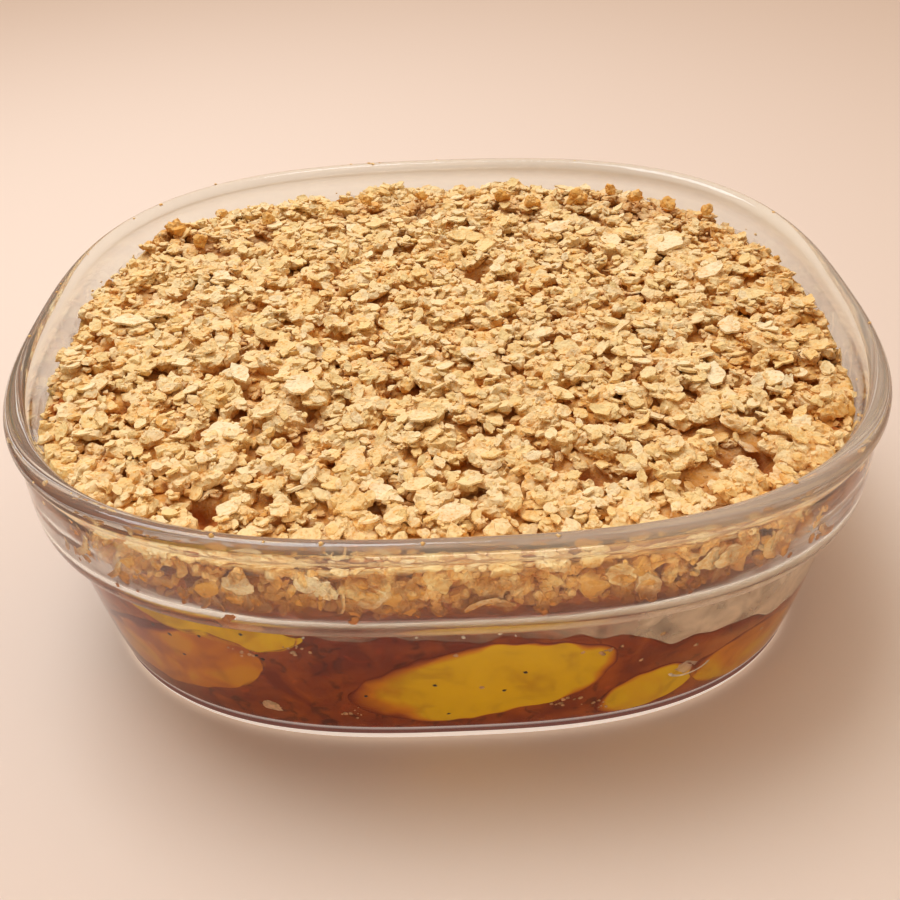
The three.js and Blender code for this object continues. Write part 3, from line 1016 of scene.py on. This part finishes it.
class CRUMBLE_OT_topping(bpy.types.Operator):
    """Build the crumble: its core, crumbs, oats and flaked almonds"""

    bl_idname = "crumble.topping"
    bl_label = "Crumble Topping"

    def execute(self, context):
        self.random = np.random.default_rng(31)
        self.heights = HeightMap()
        self.groups = {}
        self.packed_core()
        core = self.heights.height.copy()
        self.clumps()
        self.back_crumbs()
        for row in COARSE_CRUMBS:
            self.loose_crumbs(*row)
        self.flakes()
        self.loose_crumbs(*LATE_CRUMBS)
        self.oats()
        self.loose_crumbs(*GRAINS)
        # Painted shade: crumbs are darkened and browned by how far they lie under these smooth sheets
        sheets = self.heights.envelope(2), self.heights.envelope(8)
        shading = functools.partial(painted_gap_shading, sheets=sheets, heights=self.heights)
        crumb = baked_crumb("Baked oat crumble", settings("crumble").pale)
        flake = baked_crumb("Flaked almond", settings("crumble").flake)
        self.side_crumbs(crumb)
        self.side_flakes(flake)
        self.core_piece(core, shading, crumb)
        self.ring_piece(crumb)
        for name, scatter in self.groups.items():
            thin = name in THIN_NAMES
            scatter.piece(name, flake if thin else crumb, shading, FLAKE_CREASE if thin else CRUMB_CREASE)
        return {"FINISHED"}

    def place_in_plan(self, inset, keep_holes=True):
        """A random place in the oblong."""
        while True:
            x, y = [self.random.uniform(-half, half) for half in half_sizes()]
            if keep_holes and in_hole(x, y) > 0.1:
                continue
            if math.hypot(x, y) < plan_radius(math.atan2(y, x), inset):
                return x, y

    def even_places(self, spacing, inset):
        """Places spread evenly over the oblong, each shifted at random, in a random order."""
        half_length, half_width = half_sizes()
        x, y = np.meshgrid(np.arange(-half_length, half_length, spacing),
                           np.arange(-half_width, half_width, 0.866 * spacing))
        x[::2] += spacing / 2
        x += self.random.uniform(-0.42, 0.42, x.shape) * spacing
        y += self.random.uniform(-0.42, 0.42, y.shape) * spacing
        kept = (np.hypot(x, y) < plan_radius(np.arctan2(y, x), inset)) & (in_hole(x, y) < 0.1)
        places = np.stack([x[kept], y[kept]], axis=1)
        self.random.shuffle(places)
        return places.tolist()

    def half_long(self, sizes):
        """Half the length of a crumb or flake. Most are small."""
        return self.random.triangular(sizes[0], sizes[0], sizes[1]) / 2

    def any_turn(self, greatest=2 * math.pi):
        """A turn about the upright axis."""
        return self.random.uniform(0, greatest)

    def packed_core(self):
        """Covers the core with packed crumbs that are part of its surface."""
        for count in range(CORE_CRUMBS):
            x, y = self.place_in_plan(6, False)
            long = self.random.uniform(1.6, 4.2)
            wide = long * self.random.uniform(0.6, 1)
            tall = wide * self.random.uniform(0.5, 0.8)
            z = float(crumble_top(x, y)) - 2.2 + self.random.uniform(-0.9, 0.9)
            z -= HOLE_DEPTH * float(in_hole(x, y))
            self.heights.rest(x, y, z, long, wide, tall, self.any_turn(math.pi))

    def clumps(self):
        """The large crumbs of the part's solid."""
        draws = Draws()
        scatter = Scatter(crumb_shapes(1, 14, 4, 0.5))
        for count, (x, y) in enumerate(list(spread(draws, 18.8, 10))):
            size = draws.between(9, 17)
            z = float(crumble_top(x, y)) + draws.between(-0.05, 0.25) * size
            for corner in range(CRUMB_CORNERS):
                draws.between(0.78, 1.15)
            long = size / 2
            wide = long * draws.between(0.7, 1)
            tall = long * draws.between(0.55, 0.8) * 0.85
            lean_x, lean_y = draws.between(-0.5, 0.5), draws.between(-0.5, 0.5)
            turn_z = draws.between(0, 2 * math.pi)
            clear = (float(plan_radius(math.atan2(y, x), 6.5)) - long) / math.hypot(x, y)
            x, y = x * min(1, clear), y * min(1, clear)
            z = min(z, float(crumble_top(x, y)) + LAYER + 0.6 - tall) - 0.3 * tall
            self.heights.rest(x, y, z, long * 0.95, wide * 0.95, tall * 0.9, turn_z)
            turn = sized((long, wide, tall), (turn_z, "Z"), (0.6 * lean_y, "Y"), (0.6 * lean_x, "X"))
            scatter.put(count, turn, (x, y, z), self.random.uniform(0.2, 1), self.toast_at(x, y))
        self.groups["crumble_clumps"] = scatter

    def back_crumbs(self):
        """Toasted crumbs that stand up along the far edge."""
        scatter = Scatter(crumb_shapes(70, 6, 3), CEILING + 2)
        for index, (x, y, size) in enumerate(BACK_CRUMBS):
            long = size / 2
            wide, tall = long * self.random.uniform(0.7, 0.9), long * self.random.uniform(0.7, 0.95)
            turn_z = self.any_turn()
            z = CEILING + 1.2 - tall
            self.heights.rest(x, y, z, long, wide, tall, turn_z)
            scatter.put(index, sized((long, wide, tall), (turn_z, "Z"), (0.3, "Y")), (x, y, z), 0.2, 0.75)
        self.groups["crumble_back_crumbs"] = scatter

    def toast_at(self, x, y):
        """Toasting at a place, with some crumbs browner than others."""
        extra = self.random.uniform(-0.12, 0.15)
        if self.random.random() < 0.12:
            extra += self.random.uniform(0.1, 0.4)
        return float(np.clip(toasting(x, y) + extra, 0, 1))

    def loose_crumbs(self, name, spacing, subdivisions, kinds, sizes, sink, share):
        """Crumbs that are dropped on the heap, spread evenly."""
        scatter = Scatter(crumb_shapes(20 * subdivisions + 7 * len(self.groups), kinds, subdivisions, 0.5))
        for index, (x, y) in enumerate(self.even_places(spacing, 7.5)):
            long = self.half_long(sizes)
            wide, tall = long * self.random.uniform(0.6, 0.95), long * self.random.uniform(0.32, 0.5)
            turn_z = self.any_turn()
            z = self.heights.settle(x, y, long, wide, tall, turn_z, sink, share)
            lean_x, lean_y = self.random.uniform(-0.3, 0.3, 2)
            turn = sized((long, wide, tall), (turn_z, "Z"), (lean_y, "Y"), (lean_x, "X"))
            scatter.put(index, turn, (x, y, z), self.random.uniform(0, 1), self.toast_at(x, y))
        self.groups[name] = scatter

    def lay_flake(self, scatter, index, place, long, turn_z, slant, tint):
        """Lays one flake on the heap."""
        x, y = place
        wide = long * self.random.uniform(0.52, 0.75)
        lean, roll = self.random.normal(0, slant), self.random.normal(0, slant)
        tall = max(0.5, abs(math.sin(lean)) * long * 0.6)
        z = self.heights.settle(x, y, long, wide, tall * 0.5, turn_z, 0.7, 0.7, LAYER + 1)
        scatter.put(index, sized((long, wide, long), (turn_z, "Z"), (lean, "Y"), (roll, "X")),
                    (x, y, z + 0.3), tint, 0.4 * self.toast_at(x, y))

    def thin_pieces(self, scatter, count, sizes, slant):
        """Flakes that are laid on the heap at random, some on edge."""
        for index in range(count):
            long = self.half_long(sizes)
            self.lay_flake(scatter, index, self.place_in_plan(11.5), long, self.any_turn(), slant,
                           self.random.uniform(0, 0.95) ** 1.5)

    def flakes(self):
        """Flaked almonds: thin ovals, most of them with a tip."""
        scatter = Scatter([flake_shape(seed, 11, 0.13, 0.35) for seed in range(10)])
        self.thin_pieces(scatter, settings("crumble").flakes, (4.5, 10), 0.18)
        for index, (x, y, long, turn) in enumerate(MARKED_FLAKES):
            self.lay_flake(scatter, index, (x, y), long / 2, math.radians(turn), 0.08, 1.0)
        self.groups["crumble_flakes"] = scatter

    def oats(self):
        """Rolled oats and broken flakes."""
        scatter = Scatter([flake_shape(seed, 8, 0.22, 0.1) for seed in range(30, 38)])
        self.thin_pieces(scatter, OATS, (3, 6.2), 0.3)
        self.groups["crumble_oats"] = scatter

    def at_wall(self, low, high):
        """A random direction and height at the glass, above the fruit."""
        angle, z = self.random.uniform(-math.pi, math.pi), self.random.uniform(low, high)
        return angle, max(z, float(fruit_line(angle)) + 1)

    def side_crumbs(self, material):
        """Crumbs that lie against the glass."""
        for name, count, subdivisions, sizes, low in SIDE_CRUMBS:
            scatter = Scatter(crumb_shapes(90 + 10 * subdivisions, 10, subdivisions))
            for index in range(count):
                long = self.half_long(sizes)
                wide, tall = long * self.random.uniform(0.6, 0.95), long * self.random.uniform(0.5, 0.8)
                angle, z = self.at_wall(low + 0.9 * long, SIDE_TOP - 0.5 * long)
                touch = tall * self.random.uniform(0.55, 1.5) + 2.4 * at_corner(angle)
                place = place_at(angle, float(plan_radius(angle, inside_inset(z))) - touch, z)
                turn = sized((tall, long, wide), (angle, "Z"), (self.random.uniform(-3, 3), "X"),
                             (self.random.uniform(-0.5, 0.5), "Y"))
                scatter.put(index, turn, place, self.random.uniform(0, 0.6),
                            0.2 + 0.7 * self.random.random() + 0.3 * (z < 58))
            if subdivisions == 3:
                place, outward = on_glass(*LEDGE_CHUNK, 2.5)
                scatter.put(0, sized((3, 5.5, 4), (outward, "Z")), place, 0, 1)
            scatter.piece(name, material, side_shade_and_soak, CRUMB_CREASE)

    def side_flakes(self, material):
        """Flakes that lie against the glass."""
        scatter = Scatter([flake_shape(50 + k, 10, 0.12, 0.3) for k in range(8)])
        for index in range(SIDE_FLAKES):
            long = self.random.uniform(4, 10) / 2
            wide = long * self.random.uniform(0.5, 0.75)
            touch = self.random.uniform(0.3, 2)
            angle, z = self.at_wall(55, 65)
            turn = sized((long, wide, long), (angle, "Z"), (math.pi / 2, "Y"),
                         (self.random.uniform(-3, 3), "Z"), (self.random.normal(0, 0.4), "X"))
            scatter.put(index, turn, wall_place(angle, z, touch), self.random.uniform(0.2, 1),
                        0.2 * self.random.random())
        scatter.piece("crumble_side_flakes", material, side_shade_and_soak, CRUMB_CREASE)

    def core_piece(self, heights, shading, material):
        """The heap's core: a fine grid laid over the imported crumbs, closed underneath."""
        bm = bmesh.new()
        bmesh.ops.create_grid(bm, x_segments=CORE_ACROSS, y_segments=CORE_ALONG, size=1.0)
        x, y, z = rows_of(bm)
        share, angle = np.maximum(np.abs(x), np.abs(y)), np.arctan2(y, x)
        reach = share * plan_radius(angle, float(inside_inset(66)) + 1.2)
        x, y = reach * np.cos(angle), reach * np.sin(angle)
        move(bm, np.stack([x, y, self.heights.at(x, y, heights)], axis=1))
        rim = [edge for edge in bm.edges if edge.is_boundary]
        for height, back in ((60, 4.2), (52, 6.2)):
            grown = bmesh.ops.extrude_edge_only(bm, edges=rim)["geom"]
            rim = [item for item in grown if isinstance(item, bmesh.types.BMEdge) and item.is_boundary]
            for vert in {vert for edge in rim for vert in edge.verts}:
                vert.co = wall_place(math.atan2(vert.co.y, vert.co.x), height, back)
        bmesh.ops.edgeloop_fill(bm, edges=rim)
        bmesh.ops.recalc_face_normals(bm, faces=bm.faces)
        x, y, z = points = rows_of(bm)
        # Painted shade in the gaps of the core
        depth, brown = shading(points.T)
        mesh = add_mesh("crumble_core", bm)
        set_baked(mesh, 0.5 + 0.5 * np.sin(x * 1.9) * np.sin(y * 2.3), depth, toasting(x, y) + 0.15 + brown)
        add_piece("crumble_core", mesh, material, "crumble", "crumble_topping")

    def ring_piece(self, material):
        """The crumble that lies against the glass: packed crumbs with pockets of air between them."""
        low_edge = (DRUM - RING_THICKNESS, 0.0)
        wall = [(DRUM, share) for share in np.linspace(0, 1, RING_ROWS)]
        bm = turned([low_edge, *wall, (DRUM - RING_THICKNESS, 0.5), low_edge], RING_STEPS)
        x, y, row = rows_of(bm)
        back, angle = np.clip(DRUM - np.hypot(x, y), 0, None), np.arctan2(y, x)
        low = fruit_line(angle) - 2.2
        top = settings("crumble").edge / MM + 0.6 + 0.5 * np.sin(31 * angle) * np.sin(13 * angle)
        z = low + (top - low) * row
        spots = [Vector(spot) for spot in np.stack([110 * np.cos(angle), 98 * np.sin(angle), 1.25 * z], 1)]
        spots = [spot + 1.3 * noise.noise_vector(spot / 3) for spot in spots]
        cells = [noise.voronoi(spot / RING_CELL) for spot in spots]
        edge = np.array([distances[1] - distances[0] for distances, corners in cells]) * RING_CELL / 2
        chance = np.array([noise.cell(corners[0] * 7.3) for distances, corners in cells])
        patch = np.array([noise.noise(spot / 8) for spot in spots])
        knobs = np.clip(edge / 1.3, 0, 1) ** 0.5
        inset = inside_inset(z) + 5.2 - 3 * knobs - 1 * chance - 0.9 * np.clip((z - 53) / 3, 0, 1) * knobs
        inset = np.maximum(inset, inside_inset(z) - INTO_GLASS)
        places = places_at(angle, plan_radius(angle, inset + back), z)
        move(bm, places)
        # Painted shade, darker and browner farther back from the glass, and the juice's stain low down
        depth, brown = side_shade_and_soak(places)
        bmesh.ops.recalc_face_normals(bm, faces=bm.faces)
        mesh = add_mesh("crumble_ring", bm)
        set_baked(mesh, 0.5 + 0.5 * chance, depth, 0.25 + 0.3 * patch + brown)
        add_piece("crumble_ring", mesh, material, "crumble", "crumble_topping")


# Small things on the glass and behind it

def on_glass(degrees, height, inset=0.0):
    """Where something lies on the inner glass: its place, and the direction in which it faces."""
    angle = math.radians(degrees)
    half_length, half_width = half_sizes()
    outward = math.atan2(math.sin(angle) * half_length ** 2, math.cos(angle) * half_width ** 2)
    return wall_place(angle, height, inset), outward


class CRUMBLE_OT_marks(bpy.types.Operator):
    """Build the steam film, the drip, and the specks and bubbles behind the glass"""

    bl_idname = "crumble.marks"
    bl_label = "Small Marks"

    def execute(self, context):
        self.random = np.random.default_rng(5)
        self.steam()
        self.smear()
        self.specks()
        self.bubbles()
        self.drip()
        self.stray_crumbs()
        return {"FINISHED"}

    def steam(self):
        """A thin film on the glass where the fruit has sunk away, thicker at the right."""
        bm = bmesh.new()
        bmesh.ops.create_grid(bm, x_segments=200, y_segments=30, size=0.5)
        for vert in bm.verts:
            angle = math.radians(STEAM_FROM + (STEAM_TO - STEAM_FROM) * (vert.co.x + 0.5))
            line = float(fruit_line(angle))
            low = line - float(fruit_drop(angle)) + 0.3
            vert.co = wall_place(angle, low + (line - 0.5 - low) * (vert.co.y + 0.5), -MARK_INTO_GLASS)
        thicken(bm, 0.12)
        add_piece("steam_film", add_mesh("steam_film", bm), condensed_steam(), "fruit_compote")

    def smear(self):
        """A thin smear all round, where the crumbs touch the glass."""
        bm = turned([(DRUM, share) for share in np.linspace(0, 1, SMEAR_ROWS)], FRUIT_STEPS)
        for vert in bm.verts:
            angle = math.atan2(vert.co.y, vert.co.x)
            top = settings("crumble").edge / MM + 1.2 * math.sin(17 * angle)
            vert.co = wall_place(angle, SMEAR_FROM + (top - SMEAR_FROM) * vert.co.z, -MARK_INTO_GLASS)
        thicken(bm, 0.1)
        add_piece("butter_smear", add_mesh("butter_smear", bm), butter_smear(), "crumble")

    def dots(self, name, shapes, spots, inset, material, slot="fruit_compote"):
        """Small bodies on the inner glass. A spot is (degrees, height, width, tallness, turn)."""
        scatter = Scatter(shapes)
        for index, (degrees, height, wide, tall, lean) in enumerate(spots):
            place, outward = on_glass(degrees, height, inset)
            turn = sized((MARK_THICKNESS / 2, wide / 2, tall / 2), (outward, "Z"), (math.radians(lean), "X"))
            scatter.put(index, turn, place, 0.5, 0)
        scatter.piece(name, material, slot=slot, replaced=())

    def anywhere(self, count, sizes):
        """Spots on the glass round the sides and the back."""
        spots = []
        for index in range(count):
            degrees = self.random.uniform(-38, 225)
            top = float(fruit_line(math.radians(degrees))) - float(fruit_drop(math.radians(degrees))) - 2
            size = self.random.uniform(*sizes)
            spots.append((degrees, self.random.uniform(6, top), size,
                          size * self.random.uniform(0.6, 1), self.random.uniform(0, 180)))
        return spots

    def specks(self):
        """Dark specks of spice and skin."""
        spots = [(*spot, 1.3, 1.1, 0) for spot in SPECKS] + self.anywhere(60, (0.6, 1.5))
        self.dots("dark_specks", crumb_shapes(200, 4, 2), spots, -0.5,
                  small_thing("Dark speck of skin", "#2A0F06", 0.4))

    def bubbles(self):
        """Bubbles of the juice, single and in groups, whose pale colour is partly a painted glint, and a
        pale flake that has slipped down.
        """
        spots = [(*spot, 1.5, 1.3, 0) for spot in BUBBLES]
        for degrees, height in FOAM:
            for index in range(9):
                size = self.random.uniform(0.5, 1.4)
                spots.append((degrees + self.random.normal(0, 1.3), height + self.random.normal(0, 1.1),
                              size, size, 0))
        spots += self.anywhere(50, (0.5, 1.6))
        # The bubbles and foam are painted pale, partly as painted glints
        self.dots("juice_bubbles_and_glints", crumb_shapes(210, 4, 2), spots, -0.5,
                  small_thing("Foam of the juice with painted glints", "#D9A878", 0.25))
        self.dots("slipped_flake", crumb_shapes(220, 1, 3), [(*SLIPPED_FLAKE, 8.2, 4.4, -12)], -0.5,
                  small_thing("Soaked flake", "#E8B98E", 0.6), "crumble")

    def drip(self):
        """A drop that hangs on the inside of the glass, with painted highlights along its lower edge, and
        small drops along the ledge above, painted bright as glints.
        """
        degrees, height = DRIP
        self.dots("drip_body", crumb_shapes(230, 1, 3), [(*DRIP, 9.6, 6.4, 0)], -0.3, condensed_steam())
        # Painted highlights: bright dots along the drop's lower edge, and small drops along the ledge painted
        # bright as glints
        spots = []
        for way in np.radians(np.linspace(195, 350, 26)):
            size = 0.5 + 0.5 * abs(math.sin(way))
            spots.append((degrees + 3 * math.cos(way), height + 3.4 * math.sin(way), size + 0.6, size, 0))
        for index in range(34):
            size = self.random.uniform(0.4, 1.5)
            spots.append((self.random.uniform(-124, -36), self.random.uniform(41.5, 46.5), size,
                          size * self.random.uniform(0.4, 1), self.random.uniform(-60, 60)))
        self.dots("drip_glints", crumb_shapes(231, 1, 2), spots, -0.45,
                  small_thing("Painted glint on a drop", "#F2E2D2", 0.15))

    def stray_crumbs(self):
        """Tiny crumbs that stick to the bead and to the glass above the crumble."""
        scatter = Scatter(crumb_shapes(240, 6, 2), CEILING + 5)
        height = settings("dish").height / MM
        for index in range(46):
            angle = self.random.uniform(-math.pi, math.pi)
            if index % 2:
                z, inset = height, self.random.uniform(1.9, 3.6)
            else:
                z = self.random.uniform(66, 69.5)
                inset = float(inside_inset(z)) + 0.1
            size = self.random.uniform(0.3, 0.8)
            scatter.put(index, sized((size, size, 0.7 * size), (angle, "Z")),
                        place_at(angle, plan_radius(angle, inset), z), 0.5, 0.4)
        crumb = baked_crumb("Stray oat crumble", settings("crumble").pale)
        scatter.piece("stray_crumbs", crumb, replaced=())


# Stage. The camera's angles, roll and place are those of the photograph. A lamp has its place, its
# size and its power.
VIEW_AZIMUTH = math.radians(-0.5)
VIEW_ELEVATION = math.radians(37.9)
VIEW_ROLL = math.radians(-1.84)
VIEW_HEIGHT = 38.9
VIEW_ASIDE = 0.34
VIEW_DOWN = 13.59
LAMPS = {"Key": ((-220, 210, 740), (420, 420), 4.1, "#EAF6FF"),
         "Fill": ((60, -740, 62), (340, 110), 1.2, "#FFE9D2")}
LAMPS_AIM = 40
FLOOR_HALF = 3000
FLOOR_GAP = 0.05


class CRUMBLE_OT_stage(bpy.types.Operator):
    """Build the floor, the light and the camera"""

    bl_idname = "crumble.stage"
    bl_label = "Stage"

    def execute(self, context):
        self.floor()
        self.sky(context.scene)
        for name, row in LAMPS.items():
            self.lamp(name, *row)
        self.camera(context.scene)
        return {"FINISHED"}

    def floor(self):
        """A wide plain floor under the dish."""
        bm = bmesh.new()
        bmesh.ops.create_grid(bm, x_segments=1, y_segments=1, size=FLOOR_HALF)
        bmesh.ops.translate(bm, verts=bm.verts, vec=(0, 0, -FLOOR_GAP))
        floor = bpy.data.objects.new("floor", add_mesh("floor", bm))
        floor.data.materials.append(painted_board())
        bpy.context.scene.collection.objects.link(floor)

    def sky(self, scene):
        """Soft light from all round, brighter above and behind."""
        nodes = Nodes(bpy.data.worlds.new("Soft studio"))
        way = nodes.add("SeparateXYZ", {"Vector": nodes.add("TexCoord", {})["Generated"]})
        side = nodes.span(way["Y"], -0.75, 0.25, 0.1, 1.1)
        light = nodes.ramp(way["Z"], (0.0, linear("#9C7A62")), (0.35, linear("#D8B898")),
                           (0.8, settings("stage").sky[:]))
        background = nodes.add("Background", {"Color": light, "Strength": side})[0]
        scene.world = nodes.done(background, "World")
        scene.view_settings.view_transform = "Standard"

    def lamp(self, name, place, size, power, tint):
        """One softbox that faces the dish."""
        light = bpy.data.lights.new(name, "AREA")
        light.shape = "RECTANGLE"
        light.size, light.size_y = size[0] * MM, size[1] * MM
        light.energy = power
        light.color = linear(tint)[:3]
        lamp = bpy.data.objects.new(name, light)
        lamp.location = Vector(place) * MM
        way = Vector((0, 0, LAMPS_AIM * MM)) - lamp.location
        lamp.rotation_euler = way.to_track_quat("-Z", "Y").to_euler()
        bpy.context.scene.collection.objects.link(lamp)

    def camera(self, scene):
        """The camera at the photograph's place."""
        stage = settings("stage")
        forward = Vector((-math.sin(VIEW_AZIMUTH) * math.cos(VIEW_ELEVATION),
                          math.cos(VIEW_AZIMUTH) * math.cos(VIEW_ELEVATION),
                          -math.sin(VIEW_ELEVATION)))
        right = Vector((math.cos(VIEW_AZIMUTH), math.sin(VIEW_AZIMUTH), 0))
        up = right.cross(forward)
        target = (Vector((0, 0, VIEW_HEIGHT)) + right * VIEW_ASIDE - up * VIEW_DOWN) * MM
        across = right * math.cos(VIEW_ROLL) + up * math.sin(VIEW_ROLL)
        upward = up * math.cos(VIEW_ROLL) - right * math.sin(VIEW_ROLL)
        lens = bpy.data.cameras.new("Camera")
        lens.sensor_width = 36
        lens.lens = stage.focal
        lens.clip_start = 0.01
        camera = bpy.data.objects.new("Camera", lens)
        turn = Matrix((across, upward, -forward)).transposed().to_4x4()
        camera.matrix_world = Matrix.Translation(target - forward * stage.distance) @ turn
        scene.collection.objects.link(camera)
        scene.camera = camera


class CRUMBLE_PT_panel(bpy.types.Panel):
    """Lists the parts of the crumble"""

    bl_idname = "CRUMBLE_PT_panel"
    bl_label = "Fruit Crumble"
    bl_space_type = "VIEW_3D"
    bl_region_type = "UI"
    bl_category = "Crumble"

    def draw(self, context):
        for operator in OPERATORS:
            self.layout.operator(operator.bl_idname)
        for group, kind in GROUPS.items():
            box = self.layout.box()
            for name in kind.__annotations__:
                box.prop(getattr(context.scene, "crumble_" + group), name)


GROUPS = {"dish": DishSettings, "fruit": FruitSettings, "crumble": CrumbleSettings, "stage": StageSettings}
OPERATORS = (CRUMBLE_OT_stage, CRUMBLE_OT_dish, CRUMBLE_OT_fruit, CRUMBLE_OT_topping, CRUMBLE_OT_marks)
CLASSES = (*GROUPS.values(), *OPERATORS, CRUMBLE_PT_panel)


def register():
    """Registers the classes and hangs the settings on the scene."""
    for kind in CLASSES:
        bpy.utils.register_class(kind)
    for group, kind in GROUPS.items():
        setattr(bpy.types.Scene, "crumble_" + group, PointerProperty(type=kind))


def unregister():
    """Takes the settings and the classes away."""
    for group in GROUPS:
        delattr(bpy.types.Scene, "crumble_" + group)
    for kind in reversed(CLASSES):
        bpy.utils.unregister_class(kind)


def main():
    """Builds the stage and every piece."""
    register()
    bpy.ops.crumble.stage()
    bpy.ops.crumble.dish()
    bpy.ops.crumble.fruit()
    bpy.ops.crumble.topping()
    bpy.ops.crumble.marks()


if __name__ == "__main__":
    main()
